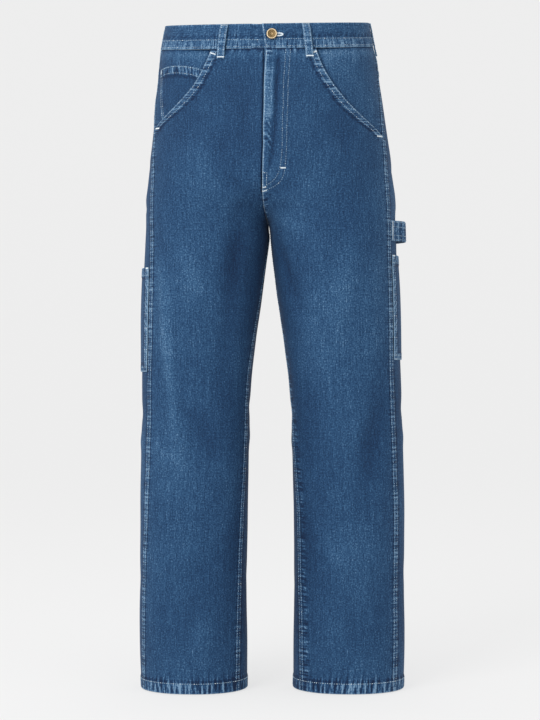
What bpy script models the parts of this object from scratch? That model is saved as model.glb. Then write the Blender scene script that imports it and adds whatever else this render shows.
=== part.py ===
"""Carpenter pants in mid-blue denim, in the shape they have when worn, with no wearer.

Metres, +Z up, the front towards -Y and the wearer's left towards +X. The origin is the middle of
the waist opening, where a wearer holds the pants up. Every piece that a maker would cut is its
own solid: a wall of cloth lofted through rings, one ring for each row of the FORM table.
"""

import math
from bisect import bisect_right
from collections import namedtuple

import bmesh
import bpy
from mathutils import Matrix, Vector

MM = 0.001
LEFT, RIGHT = 1, -1
SIDE_NAME = {LEFT: "left", RIGHT: "right"}

# Cloth and sewing sizes
CLOTH = 1.5 * MM
SEAM_GAP = 0.2 * MM
FELL_WIDTH = 9.0 * MM
FELL_STEP = 1.5 * MM
FELL_RISE = 0.9 * MM
BEHIND_FELL = 11.0 * MM
HEM_DEPTH = 18.0 * MM
HEM_RISE = 0.8 * MM
PATCH_GAP = 0.7 * MM
PATCH_CLOTH = 1.3 * MM
PATCH_HEM_RISE = 0.8 * MM

# Waist: the top edge is higher at the back than at the front
WAIST_TOP = 19.0 * MM
WAIST_TILT = 0.176
TILT_GONE = 260.0 * MM
BAND_WIDTH = 38.5 * MM
BAND_PROUD = 1.2 * MM
BAND_CLOTH = 2.8 * MM
BAND_GAP = 0.3 * MM
OVER_END_TOP = 3.7 * MM
OVER_END_LOW = -2.0 * MM
UNDER_END = 36.0 * MM
UNDER_SINK = BAND_CLOTH + 0.4 * MM

# Lengths down from the top edge at the side
CROTCH = 322.0 * MM
HEM = 1058.0 * MM
FLY_END = 270.0 * MM
FLY_UNDERLAP = 22.0 * MM
FLY_TAPER = 70.0 * MM
FLY_FADE = 12.0 * MM
FLY_SINK = 2.1 * MM
FLY_RAMP = 3.0 * MM
FLY_EDGE_BACK = 2.4 * MM
SLASH_END = {LEFT: 188.0 * MM, RIGHT: 171.0 * MM}
YOKE_SIDE = 84.0 * MM
YOKE_MIDDLE = 112.0 * MM
YOKE_FLAT_BELOW = 110.0 * MM

# Hip pockets at the front: the facing lies behind the slanted opening
FACING_AT_SEAM = 0.3 * MM
FACING_SINK = 5.0 * MM
FACING_SLOPE = 64.0 * MM
FACING_UNDER = 22.0 * MM
FACING_ABOVE_END = 6.0 * MM
COIN_SIDE = 26.0 * MM
COIN_UNDER = 9.0 * MM
COIN_TOP = 63.5 * MM
COIN_LOW = 152.0 * MM
COIN_CROWN = 9.0 * MM
COIN_CLOTH = 1.2 * MM
COIN_LIFT = 1.9 * MM

# Belt loops, tool pockets, hammer loop, back pockets and button
LOOP_WIDTH = 12.0 * MM
LOOP_CLOTH = 1.6 * MM
LOOP_BOW = 6.2 * MM
LOOP_TOP = 1.0 * MM
LOOP_BELOW_BAND = 15.5 * MM
TOOL_POCKET_WIDTH = 96.0 * MM
TOOL_POCKET_HEIGHT = 165.0 * MM
TOOL_POCKET_TOP = {LEFT: 372.0 * MM, RIGHT: 391.0 * MM}
POCKET_HEM = 14.0 * MM
POCKET_BULGE = 1.0 * MM
HAMMER_TOP = 318.0 * MM
HAMMER_WIDTH = 32.0 * MM
HAMMER_REACH = 92.0 * MM
HAMMER_BOW = 13.0 * MM
HAMMER_CLOTH = 2.2 * MM
BACK_POCKET_WIDTH = 146.0 * MM
BACK_POCKET_SIDE = 138.0 * MM
BACK_POCKET_POINT = 18.0 * MM
BACK_POCKET_INSET = 34.0 * MM
BACK_POCKET_BELOW_YOKE = 18.0 * MM
BACK_POCKET_NARROWING = 0.08
BUTTON_FROM_MIDDLE = 12.0 * MM
BUTTON_DROP = 17.0 * MM
BUTTON_SEAT = 0.3 * MM

# Half of the button's profile, cap first, as radius and height in millimetres
BUTTON_PROFILE = (
    (0.0, 1.9), (1.6, 2.1), (2.6, 3.0), (3.6, 3.9), (5.0, 4.2), (6.8, 3.8), (8.0, 3.0),
    (8.3, 2.3), (7.6, 1.7), (3.2, 1.4), (2.6, 0.9), (2.6, 0.0), (0.0, 0.0),
)
BUTTON_SIDES = 20

DENIM = ("denim", (0.045, 0.095, 0.19), 0.85, 0.0)
BRASS = ("antique_brass", (0.50, 0.34, 0.16), 0.35, 1.0)

# Rings of the worn shape, in millimetres. drop: down from the top edge. left, right: from the
# origin's plane to the outer side of each leg. middle: where the two legs' rings meet. inner:
# where the leg's ring turns back on its inner side, as a share of its outer side, so that -1 is
# one ring round the hips and 0 is the crotch. front, back: depths. round: power of the ring's
# curve, 2 for an ellipse. twist: degrees about +Z.
Ring = namedtuple("Ring", "drop left right middle inner front back round twist")
FORM = [
    Ring(*row)
    for row in (
        (0, 157, 166, 0, -1.0, 106, 106, 2.25, -4.8),
        (38, 164, 173, 0, -1.0, 109, 112, 2.25, -4.8),
        (64, 171, 177, 0, -1.0, 112, 118, 2.25, -4.8),
        (96, 175, 180, 0, -1.0, 114, 125, 2.25, -4.8),
        (128, 180, 184, 0, -1.0, 116, 132, 2.25, -4.8),
        (170, 186, 187, -1, -0.97, 117, 137, 2.25, -4.8),
        (200, 190, 190, -1, -0.85, 116, 138, 2.25, -4.8),
        (224, 193, 193, -2, -0.68, 114, 137, 2.25, -4.8),
        (248, 195, 195, -3, -0.49, 110, 133, 2.25, -4.8),
        (268, 197, 197, -4, -0.32, 106, 129, 2.25, -4.8),
        (284, 198, 198, -5, -0.178, 103, 125, 2.25, -4.7),
        (296, 199, 198, -5, -0.090, 101, 122, 2.2, -4.6),
        (306, 199, 199, -4, -0.038, 100, 120, 2.2, -4.5),
        (314, 199, 199, -3, -0.012, 99.5, 118, 2.2, -4.5),
        (322, 200, 199, -2, 0.0, 99, 117, 2.2, -4.4),
        (345, 201, 200, 0, 0.006, 98, 113, 2.15, -4.2),
        (377, 202, 201, 0, 0.024, 96, 109, 2.15, -3.8),
        (441, 205, 203, 0, 0.067, 91, 102, 2.15, -3.0),
        (505, 207, 204, 0, 0.113, 85, 95, 2.15, -2.2),
        (569, 210, 205, 0, 0.147, 80, 89, 2.15, -1.4),
        (633, 212, 205, 0, 0.162, 77, 85, 2.15, -0.8),
        (729, 214, 206, 0, 0.171, 74, 81, 2.15, -0.3),
        (857, 215, 207, 0, 0.174, 73, 76, 2.15, 0.0),
        (985, 215, 208, 0, 0.174, 74, 71, 2.15, 0.0),
        (1058, 213, 206, 0, 0.174, 74, 69, 2.15, 0.0),
    )
]

# Seams, in degrees forward of the leg's outer and inner sides
SeamRow = namedtuple("SeamRow", "drop out_left out_right in_left in_right")
SEAMS = [
    SeamRow(*row)
    for row in (
        (0, 5, 5, 0, 0),
        (60, 6, 6, 0, 0),
        (122, 12, 11, 0, 0),
        (188, 18, 20, 0, 0),
        (286, 28, 35, 0, 0),
        (322, 30, 38, 0, 0),
        (381, 32, 40, 2, 8),
        (443, 35, 41, 4, 14),
        (506, 38, 41, 6, 19),
        (569, 41, 40, 9, 23),
        (678, 41, 39, 20, 25),
        (786, 40, 35, 28, 31),
        (857, 41, 32, 30, 34),
        (946, 42, 31, 34, 37),
        (1058, 42, 27, 36, 40),
    )
]

# The slanted pocket opening: how far each side's edge is from the middle, at each drop
SlashRow = namedtuple("SlashRow", "drop left right")
SLASH = [
    SlashRow(*row)
    for row in (
        (38, 79, 82.5),
        (64, 88.5, 94.3),
        (80, 96.3, 102.3),
        (96, 105.6, 111.6),
        (112, 116.6, 124),
        (128, 129, 139),
        (144, 143.5, 155),
        (160, 159, 171.5),
        (173, 172, 181.5),
        (190, 187, 190),
    )
]

# Largest folds. turn: degrees round the leg, 0 outer side, 90 front, 180 inner side, -90 back.
# wide: half-width across, in millimetres. high: above the cloth, or below it if negative.
Fold = namedtuple("Fold", "leg turn_top drop_top turn_low drop_low wide high")
FOLDS = [
    Fold(*row)
    for row in (
        (RIGHT, 50, 360, 80, 740, 11, 3.4),
        (RIGHT, 92, 600, 112, 700, 16, -2.6),
        (RIGHT, 122, 250, 118, 620, 20, -3.0),
        (LEFT, 55, 560, 84, 800, 22, -4.2),
        (LEFT, 66, 330, 120, 620, 20, 2.6),
        (LEFT, 150, 330, 124, 480, 14, -3.0),
        (LEFT, -40, 560, -100, 700, 18, -3.2),
        (RIGHT, -40, 570, -105, 720, 18, -3.2),
        (LEFT, -140, 330, -110, 480, 16, -3.0),
        (RIGHT, -140, 340, -110, 500, 16, -3.0),
        (LEFT, -70, 720, -95, 985, 17, 2.8),
        (RIGHT, -75, 710, -100, 970, 17, 2.8),
    )
]

# Rows of every panel, as drops in millimetres: close together at the crotch and at the hem
PANEL_DROPS = [
    value * MM
    for value in (
        38.8, 62, 86, 110, 134, 156, 172, 188, 206, 228, 250, 268, 282, 293, 302, 310, 317, 322,
        330, 344, 362, 388, 422, 465, 515, 570, 630, 695, 765, 840, 915, 985, 1038.5, 1040, 1058,
    )
]


def smooth_step(share):
    """0 below 0, 1 above 1, and an even S between."""
    share = min(1.0, max(0.0, share))
    return share * share * (3.0 - 2.0 * share)


class Curve:
    """A smooth curve through one column of a table, with no overshoot between its rows."""

    def __init__(self, rows, column, scale=1.0):
        self.at = [row.drop * MM for row in rows]
        self.value = [getattr(row, column) * scale for row in rows]
        steps = [
            (self.value[i + 1] - self.value[i]) / (self.at[i + 1] - self.at[i])
            for i in range(len(rows) - 1)
        ]
        self.slope = [steps[0]]
        for before, after in zip(steps, steps[1:]):
            together = before * after > 0
            self.slope.append(2 * before * after / (before + after) if together else 0.0)
        self.slope.append(steps[-1])

    def __call__(self, drop):
        drop = min(self.at[-1], max(self.at[0], drop))
        i = min(len(self.at) - 2, bisect_right(self.at, drop) - 1)
        span = self.at[i + 1] - self.at[i]
        t = (drop - self.at[i]) / span
        return (
            (1 + 2 * t) * (1 - t) ** 2 * self.value[i]
            + t * (1 - t) ** 2 * span * self.slope[i]
            + t * t * (3 - 2 * t) * self.value[i + 1]
            + t * t * (t - 1) * span * self.slope[i + 1]
        )


OUTER = {LEFT: Curve(FORM, "left", MM), RIGHT: Curve(FORM, "right", MM)}
MIDDLE = Curve(FORM, "middle", MM)
INNER = Curve(FORM, "inner")
FRONT = Curve(FORM, "front", MM)
BACK = Curve(FORM, "back", MM)
ROUND = Curve(FORM, "round")
TWIST = Curve(FORM, "twist", math.pi / 180)
OUTSEAM = {LEFT: Curve(SEAMS, "out_left"), RIGHT: Curve(SEAMS, "out_right")}
INSEAM = {LEFT: Curve(SEAMS, "in_left"), RIGHT: Curve(SEAMS, "in_right")}
SLASH_ACROSS = {LEFT: Curve(SLASH, "left", MM), RIGHT: Curve(SLASH, "right", MM)}


def outer_reach(leg, drop):
    """From the plane where the legs meet to the leg's outer side."""
    return OUTER[leg](drop) - leg * MIDDLE(drop)


def ring_point(leg, turn, drop):
    """A point of one leg's ring before folds and twist: out from the middle, back, and up."""
    outer = outer_reach(leg, drop)
    inner = outer * INNER(drop)
    power = 2.0 / ROUND(drop)
    c = math.cos(math.radians(turn))
    s = math.sin(math.radians(turn))
    out = (outer + inner) / 2 + (outer - inner) / 2 * math.copysign(abs(c) ** power, c)
    y = -math.copysign(abs(s) ** power, s) * (FRONT(drop) if s > 0 else BACK(drop))
    tilt = WAIST_TILT * (1 - smooth_step((drop - BAND_WIDTH) / (TILT_GONE - BAND_WIDTH)))
    return Vector((out, y, WAIST_TOP - drop + tilt * y))


def fold_height(leg, turn, drop):
    """How far the folds push the cloth out at this place."""
    height = 0.0
    for fold in FOLDS:
        share = (drop / MM - fold.drop_top) / (fold.drop_low - fold.drop_top)
        if fold.leg != leg or not 0 < share < 1:
            continue
        middle = fold.turn_top + (fold.turn_low - fold.turn_top) * share
        off = (turn - middle + 180) % 360 - 180
        across = math.radians(off) * 0.5 * (FRONT(drop) + BACK(drop)) / MM
        height += fold.high * math.sin(math.pi * share) * math.exp(-((across / fold.wide) ** 2))
    return height * MM


def cloth_place(leg, turn, drop, lift=0.0, own_side=False):
    """Where the cloth is, folds included, moved out by lift; own_side keeps clear of the middle."""
    around = ring_point(leg, turn + 1.5, drop) - ring_point(leg, turn - 1.5, drop)
    down = ring_point(leg, turn, drop + 1.5 * MM) - ring_point(leg, turn, drop - 1.5 * MM)
    out = around.cross(down).normalized()
    point = ring_point(leg, turn, drop) + out * (fold_height(leg, turn, drop) + lift)
    if own_side:
        point.x = max(point.x, SEAM_GAP)
    point.x = MIDDLE(drop) + leg * point.x
    return Matrix.Rotation(TWIST(drop), 3, "Z") @ point


def split_turn(drop):
    """The turn at which the ring of a leg meets the middle of the body, or its inner side."""
    share = INNER(drop)
    if share >= 0:
        return 180.0
    reach = max(0.0, 1 + share) / (1 - share)
    return 180.0 - math.degrees(math.acos(reach ** (ROUND(drop) / 2)))


def front_end(leg, drop):
    """The turn at which the front panel ends: the middle seam, then the inseam."""
    return split_turn(drop) - (INSEAM[leg](drop) if drop > CROTCH else 0.0)


def back_end(leg, drop):
    """The turn at which the back panel ends, going round by the back."""
    return front_end(leg, drop) - 360.0 if drop > CROTCH else -split_turn(drop)


def slash_turn(leg, drop):
    """The turn of the pocket opening's edge, or of the outseam below it."""
    seam = OUTSEAM[leg](drop)
    if drop >= SLASH_END[leg]:
        return seam
    share = min(1.0, SLASH_ACROSS[leg](drop) / outer_reach(leg, drop))
    return max(seam, math.degrees(math.acos(share ** (ROUND(drop) / 2))))


class Row:
    """The stretch of one ring between two turns, measured along the cloth."""

    def __init__(self, leg, start, end, drop, parts=72):
        self.turns = [start + (end - start) * i / parts for i in range(parts + 1)]
        places = [ring_point(leg, turn, drop) for turn in self.turns]
        self.along = [0.0]
        for before, after in zip(places, places[1:]):
            self.along.append(self.along[-1] + (after - before).length)
        self.length = self.along[-1]

    def turn_at(self, distance):
        i = min(len(self.along) - 2, max(0, bisect_right(self.along, distance) - 1))
        span = self.along[i + 1] - self.along[i]
        return self.turns[i] + (self.turns[i + 1] - self.turns[i]) * (distance - self.along[i]) / span


def clear_scene():
    for thing in list(bpy.data.objects):
        bpy.data.objects.remove(thing, do_unlink=True)


def material(name, colour, roughness, metallic):
    made = bpy.data.materials.get(name)
    if made:
        return made
    made = bpy.data.materials.new(name)
    made.use_nodes = True
    shader = made.node_tree.nodes["Principled BSDF"]
    shader.inputs["Base Color"].default_value = (*colour, 1.0)
    shader.inputs["Roughness"].default_value = roughness
    shader.inputs["Metallic"].default_value = metallic
    return made


def add_object(name, mesh, finish):
    mesh.materials.append(material(*finish))
    mesh.shade_smooth()
    mesh.set_sharp_from_angle(angle=math.radians(40))
    made = bpy.data.objects.new(name, mesh)
    bpy.data.collections["carpenter_pants"].objects.link(made)
    return made


def add_wall(name, outer, inner, finish=DENIM):
    """A closed wall between two grids of points that have the same rows and columns."""
    rows, columns = len(outer), len(outer[0])
    shape = bmesh.new()
    out = [[shape.verts.new(point) for point in row] for row in outer]
    back = [[shape.verts.new(point) for point in row] for row in inner]
    for i in range(rows - 1):
        for j in range(columns - 1):
            shape.faces.new((out[i][j], out[i][j + 1], out[i + 1][j + 1], out[i + 1][j]))
            shape.faces.new((back[i][j], back[i + 1][j], back[i + 1][j + 1], back[i][j + 1]))
    rim = [(0, j) for j in range(columns)]
    rim += [(i, columns - 1) for i in range(1, rows)]
    rim += [(rows - 1, j) for j in range(columns - 2, -1, -1)]
    rim += [(i, 0) for i in range(rows - 2, 0, -1)]
    for (a, b), (c, d) in zip(rim, rim[1:] + rim[:1]):
        shape.faces.new((out[a][b], back[a][b], back[c][d], out[c][d]))
    bmesh.ops.recalc_face_normals(shape, faces=shape.faces)
    mesh = bpy.data.meshes.new(name)
    shape.to_mesh(mesh)
    shape.free()
    return add_object(name, mesh, finish)


def add_cloth(name, leg, grid, heights, thickness):
    """A piece from a grid of (turn, drop) places. heights gives the outer face and the base."""
    outer, inner = [], []
    for i, row in enumerate(grid):
        outer.append([])
        inner.append([])
        for j, (turn, drop) in enumerate(row):
            high, base = heights(i, j, turn, drop)
            outer[-1].append(cloth_place(leg, turn, drop, high, own_side=True))
            inner[-1].append(cloth_place(leg, turn, drop, base - thickness, own_side=True))
    return add_wall(name, outer, inner)


FELL_COLUMNS = (0.0, FELL_WIDTH, FELL_WIDTH + FELL_STEP)
FELL_RISES = (FELL_RISE, FELL_RISE, 0.0)


def hem_rise(drop):
    return HEM_RISE if drop > HEM - HEM_DEPTH - 0.1 * MM else 0.0


def fly_share(drop):
    """1 along the fly, and 0 below it."""
    return 1 - smooth_step((drop - FLY_END) / FLY_FADE)


def add_front(leg, plain_columns=9):
    """One front panel, from the slanted pocket opening to the middle seam and the inseam."""
    grid = []
    for drop in PANEL_DROPS:
        row = Row(leg, slash_turn(leg, drop), front_end(leg, drop) + 12, drop, 96)
        end = Row(leg, slash_turn(leg, drop), front_end(leg, drop), drop, 96).length - SEAM_GAP
        if leg == LEFT:
            end -= FLY_EDGE_BACK * (1 - smooth_step((drop - BAND_WIDTH) / (60 * MM)))
        at_middle = [FELL_WIDTH + FELL_STEP, FELL_WIDTH, FLY_RAMP, 0.0]
        start = SEAM_GAP
        inside = end - at_middle[0] - start
        across = [start + inside * i / plain_columns for i in range(plain_columns)]
        across += [end - d for d in at_middle]
        if leg == RIGHT:
            across[-1] += FLY_UNDERLAP * (1 - smooth_step((drop - FLY_END) / FLY_TAPER + 1))
        grid.append([(row.turn_at(d), drop) for d in across])
    rises = [0.0] * (plain_columns + 1) + [FELL_RISE] * 3
    sinks = [0.0] * (plain_columns + 2) + [FLY_SINK] * 2

    def heights(i, j, turn, drop):
        if leg == RIGHT:
            sink = sinks[j] * fly_share(drop)
            return hem_rise(drop) - sink, -sink
        rise = rises[j] * (1 - smooth_step((drop - CROTCH + 20 * MM) / (20 * MM)))
        return max(rise, hem_rise(drop)), 0.0

    made = []
    for i, row in enumerate(grid):
        made.append([])
        for j, (turn, drop) in enumerate(row):
            inside_own = leg == LEFT or j < len(row) - 1 or drop > FLY_END
            high, base = heights(i, j, turn, drop)
            made[-1].append(
                (
                    cloth_place(leg, turn, drop, high, inside_own),
                    cloth_place(leg, turn, drop, base - CLOTH, inside_own),
                )
            )
    return add_wall(
        "front_" + SIDE_NAME[leg],
        [[pair[0] for pair in row] for row in made],
        [[pair[1] for pair in row] for row in made],
    )


def yoke_drop(share):
    """The yoke seam: share is 0 at the outseam and 1 at the middle of the back."""
    return YOKE_SIDE + (YOKE_MIDDLE - YOKE_SIDE) * share


def back_row(leg, drop):
    return Row(leg, OUTSEAM[leg](drop), back_end(leg, drop), drop, 110)


def back_columns(length, plain_columns):
    """Distances from the outseam, with the felled seam's edges at both ends."""
    usable = length - 2 * SEAM_GAP
    inside = usable - 2 * FELL_COLUMNS[-1]
    across = list(FELL_COLUMNS)
    across += [FELL_COLUMNS[-1] + inside * i / plain_columns for i in range(1, plain_columns)]
    across += [usable - d for d in reversed(FELL_COLUMNS)]
    return [SEAM_GAP + d for d in across]


def back_rise(leg, j, last, drop):
    """The felled seams of a back piece; at the middle only the left piece carries one."""
    if j < 3:
        return FELL_RISES[j]
    if j > last - 3 and (leg == LEFT or drop > CROTCH):
        near_crotch = smooth_step(abs(drop - CROTCH) / (25 * MM))
        return FELL_RISES[last - j] * near_crotch
    return 0.0


def add_back(leg, plain_columns=11):
    """One back panel, from the yoke seam to the hem."""
    top = YOKE_SIDE + 0.4 * MM
    drops = [top] + [drop for drop in PANEL_DROPS if drop > YOKE_SIDE + 15 * MM]
    grid = []
    for drop in drops:
        slope = 1 - smooth_step((drop - top) / YOKE_FLAT_BELOW)
        length = back_row(leg, drop).length
        places = []
        for d in back_columns(length, plain_columns):
            lowered = drop + (YOKE_MIDDLE - YOKE_SIDE) * (d / length) * slope
            tilted = back_row(leg, lowered)
            places.append((tilted.turn_at(d / length * tilted.length), lowered))
        grid.append(places)
    last = len(grid[0]) - 1

    def heights(i, j, turn, drop):
        return max(back_rise(leg, j, last, drop), hem_rise(drop)), 0.0

    return add_cloth("back_" + SIDE_NAME[leg], leg, grid, heights, CLOTH)


def add_yoke(leg, rows=3, plain_columns=9):
    """The shaped piece between the waistband and the back panel."""
    top = BAND_WIDTH + BAND_GAP
    grid = []
    for i in range(rows + 1):
        length = back_row(leg, top).length
        places = []
        for d in back_columns(length, plain_columns):
            low = yoke_drop(d / length) - 0.1 * MM
            drop = top + (low - top) * i / rows
            row = back_row(leg, drop)
            places.append((row.turn_at(d / length * row.length), drop))
        grid.append(places)
    last = len(grid[0]) - 1

    def heights(i, j, turn, drop):
        return back_rise(leg, j, last, drop), 0.0

    return add_cloth("yoke_" + SIDE_NAME[leg], leg, grid, heights, CLOTH)


def opening_width(leg, drop):
    """The pocket opening's width, from the outseam to the slanted edge."""
    return Row(leg, OUTSEAM[leg](drop), slash_turn(leg, drop) + 0.01, drop).length


def facing_height(leg, distance, drop):
    """The facing is level with the yoke at the outseam and sinks under the front panel."""
    from_edge = opening_width(leg, drop) - distance
    level = min(1.0, max(0.0, from_edge / FACING_SLOPE))
    return -FACING_SINK + (FACING_SINK - FACING_AT_SEAM) * level


def add_facing(leg, columns=9):
    """The hip piece that shows behind the slanted pocket opening."""
    low = SLASH_END[leg] - FACING_ABOVE_END
    drops = [drop for drop in PANEL_DROPS if drop < low - 5 * MM] + [low]
    grid, heights_at = [], []
    for drop in drops:
        row = Row(leg, OUTSEAM[leg](drop), 90.0, drop)
        width = opening_width(leg, drop) + FACING_UNDER - SEAM_GAP
        distances = [SEAM_GAP + width * j / columns for j in range(columns + 1)]
        heights_at.append([facing_height(leg, d, drop) for d in distances])
        grid.append([(row.turn_at(d), drop) for d in distances])

    def heights(i, j, turn, drop):
        return heights_at[i][j], heights_at[i][j]

    return add_cloth("pocket_facing_" + SIDE_NAME[leg], leg, grid, heights, CLOTH)


def add_coin_pocket(rows=7, columns=8):
    """The small pocket on the right hip's facing, tucked under the front panel."""
    leg = RIGHT
    grid, heights_at = [], []
    for i in range(rows + 1):
        places, lifts = [], []
        for j in range(columns + 1):
            crown = COIN_CROWN * (1.9 * j / columns - 0.9) ** 2 * (1 - i / rows)
            drop = COIN_TOP + (COIN_LOW - COIN_TOP) * i / rows + crown
            width = opening_width(leg, drop) + COIN_UNDER - COIN_SIDE
            distance = COIN_SIDE + width * j / columns
            places.append((Row(leg, OUTSEAM[leg](drop), 90.0, drop).turn_at(distance), drop))
            lifts.append(facing_height(leg, distance, drop) + COIN_LIFT)
        grid.append(places)
        heights_at.append(lifts)

    def heights(i, j, turn, drop):
        return heights_at[i][j], heights_at[i][j]

    return add_cloth("coin_pocket", leg, grid, heights, COIN_CLOTH)


def waist_stations(drop, step=6):
    """Places round the waistband, from the end that laps over to the end beneath it."""
    slant = OVER_END_TOP + (OVER_END_LOW - OVER_END_TOP) * drop / BAND_WIDTH
    end_leg = RIGHT if slant > 0 else LEFT
    stations = [(end_leg, Row(end_leg, 90, 0, drop).turn_at(abs(slant)), 0.0)]
    stations += [(LEFT, turn, 0.0) for turn in range(90 - step, -91, -step)]
    stations += [(RIGHT, turn, 0.0) for turn in range(-90 + step, 73, step)]
    right_front = Row(RIGHT, 90, 0, drop)
    for distance, share in ((26, 0.0), (20, 0.2), (14, 0.8), (8, 1.0), (2, 1.0)):
        stations.append((RIGHT, right_front.turn_at(distance * MM), share))
    left_front = Row(LEFT, 90, 0, drop)
    stations += [(LEFT, left_front.turn_at(UNDER_END * share), 1.0) for share in (0.2, 0.6, 1.0)]
    return stations


def add_waistband():
    """One folded strip round the waist. Its left end laps over its right end at the front."""
    outer, inner = [], []
    for drop in (0.0, BAND_WIDTH / 2, BAND_WIDTH):
        stations = waist_stations(drop)
        highs = [BAND_PROUD - UNDER_SINK * under for leg, turn, under in stations]
        outer.append([cloth_place(s[0], s[1], drop, high) for s, high in zip(stations, highs)])
        inner.append(
            [cloth_place(s[0], s[1], drop, high - BAND_CLOTH) for s, high in zip(stations, highs)]
        )
    return add_wall("waistband", outer, inner)


def add_belt_loop(name, leg, turn_top, turn_low, over_seam=0.0, rows=12):
    """A folded strip that bows out from the waistband, so that a belt goes behind it."""
    low = BAND_WIDTH + LOOP_BELOW_BAND
    outer, inner = [], []
    for i in range(rows + 1):
        share = i / rows
        drop = LOOP_TOP + (low - LOOP_TOP) * share
        on_band = drop < BAND_WIDTH + 1.5 * MM
        base = PATCH_GAP + (BAND_PROUD if on_band else over_seam)
        bow = LOOP_BOW * smooth_step(share / 0.2) * smooth_step((1 - share) / 0.26)
        middle = turn_top + (turn_low - turn_top) * share
        if abs(middle) == 90:
            beside = Row(leg, middle, 0, drop).turn_at(LOOP_WIDTH / 2)
            sides = ((leg, beside), (leg, middle), (-leg, beside))
        else:
            beside = [
                Row(leg, middle, end, drop).turn_at(LOOP_WIDTH / 2) for end in (middle + 40, middle - 40)
            ]
            sides = ((leg, beside[0]), (leg, middle), (leg, beside[1]))
        outer.append([cloth_place(one, turn, drop, base + bow + LOOP_CLOTH) for one, turn in sides])
        inner.append([cloth_place(one, turn, drop, base + bow) for one, turn in sides])
    return add_wall(name, outer, inner)


def patch_bulge(across, down):
    """A patch pocket stands out a little between its sewn edges."""
    side = max(0.0, math.sin(math.pi * across)) ** 0.5
    return POCKET_BULGE * side * max(0.0, math.sin(math.pi * (0.12 + 0.88 * down))) ** 0.6


def add_tool_pocket(leg, columns=9):
    """The long patch pocket on the back panel, just behind the outseam."""
    top = TOOL_POCKET_TOP[leg]
    downs = [0.0, POCKET_HEM - FELL_STEP, POCKET_HEM]
    downs += [POCKET_HEM + (TOOL_POCKET_HEIGHT - POCKET_HEM) * i / 6 for i in range(1, 7)]
    grid = []
    for down in downs:
        row = back_row(leg, top + down)
        places = [BEHIND_FELL + TOOL_POCKET_WIDTH * j / columns for j in range(columns + 1)]
        grid.append([(row.turn_at(d), top + down) for d in places])

    def heights(i, j, turn, drop):
        bulge = patch_bulge(j / columns, (drop - top) / TOOL_POCKET_HEIGHT)
        base = PATCH_GAP + PATCH_CLOTH + bulge
        return base + (PATCH_HEM_RISE if i < 2 else 0.0), base

    return add_cloth("tool_pocket_" + SIDE_NAME[leg], leg, grid, heights, PATCH_CLOTH)


def add_hammer_loop(parts=16):
    """The wide strap at the left side, from behind the outseam round to the back panel."""
    outer, inner = [], []
    for k in range(4):
        drop = HAMMER_TOP + HAMMER_WIDTH * k / 3
        outer.append([])
        inner.append([])
        for i in range(parts + 1):
            share = i / parts
            turn = back_row(LEFT, drop).turn_at(BEHIND_FELL + HAMMER_REACH * share)
            bow = HAMMER_BOW * smooth_step((share - 0.04) / 0.42) * smooth_step((0.97 - share) / 0.42)
            outer[-1].append(cloth_place(LEFT, turn, drop, PATCH_GAP + HAMMER_CLOTH + bow))
            inner[-1].append(cloth_place(LEFT, turn, drop, PATCH_GAP + bow))
    return add_wall("hammer_loop", outer, inner)


def add_back_pocket(leg, rows=8, columns=9):
    """A plain patch pocket on the seat, pointed at the bottom."""
    grid = []
    for i in range(rows + 1):
        places = []
        for j in range(columns + 1):
            across = j / columns
            point = BACK_POCKET_POINT * (1 - abs(2 * across - 1)) * i / rows
            width = BACK_POCKET_WIDTH * (1 - BACK_POCKET_NARROWING * i / rows)
            down = BACK_POCKET_BELOW_YOKE + BACK_POCKET_SIDE * i / rows + point
            upper = back_row(leg, YOKE_MIDDLE + down)
            inward = BACK_POCKET_INSET + BACK_POCKET_WIDTH / 2 + width * (0.5 - across)
            drop = yoke_drop(1 - inward / upper.length) + down
            row = back_row(leg, drop)
            places.append((row.turn_at(row.length - inward), drop))
        grid.append(places)

    def heights(i, j, turn, drop):
        base = PATCH_GAP + PATCH_CLOTH + patch_bulge(j / columns, i / rows)
        return base + (PATCH_HEM_RISE if i < 1 else 0.0), base

    return add_cloth("back_pocket_" + SIDE_NAME[leg], leg, grid, heights, PATCH_CLOTH)


def add_button():
    """The waist button: a dished cap on a short neck, turned about the way out of the band."""
    turn = Row(LEFT, 90, 0, BUTTON_DROP).turn_at(BUTTON_FROM_MIDDLE)
    seat = cloth_place(LEFT, turn, BUTTON_DROP, BAND_PROUD + BUTTON_SEAT)
    out = (cloth_place(LEFT, turn, BUTTON_DROP, 1.0) - cloth_place(LEFT, turn, BUTTON_DROP)).normalized()
    shape = bmesh.new()
    points = [shape.verts.new((radius * MM, 0, height * MM)) for radius, height in BUTTON_PROFILE]
    edges = [shape.edges.new(pair) for pair in zip(points, points[1:])]
    bmesh.ops.spin(
        shape, geom=points + edges, cent=(0, 0, 0), axis=(0, 0, 1), angle=math.tau,
        steps=BUTTON_SIDES, use_merge=True,
    )
    bmesh.ops.remove_doubles(shape, verts=shape.verts, dist=0.01 * MM)
    bmesh.ops.recalc_face_normals(shape, faces=shape.faces)
    mesh = bpy.data.meshes.new("button")
    shape.to_mesh(mesh)
    shape.free()
    button = add_object("button", mesh, BRASS)
    button.matrix_world = Matrix.Translation(seat) @ out.to_track_quat("Z", "Y").to_matrix().to_4x4()
    return button


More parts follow.
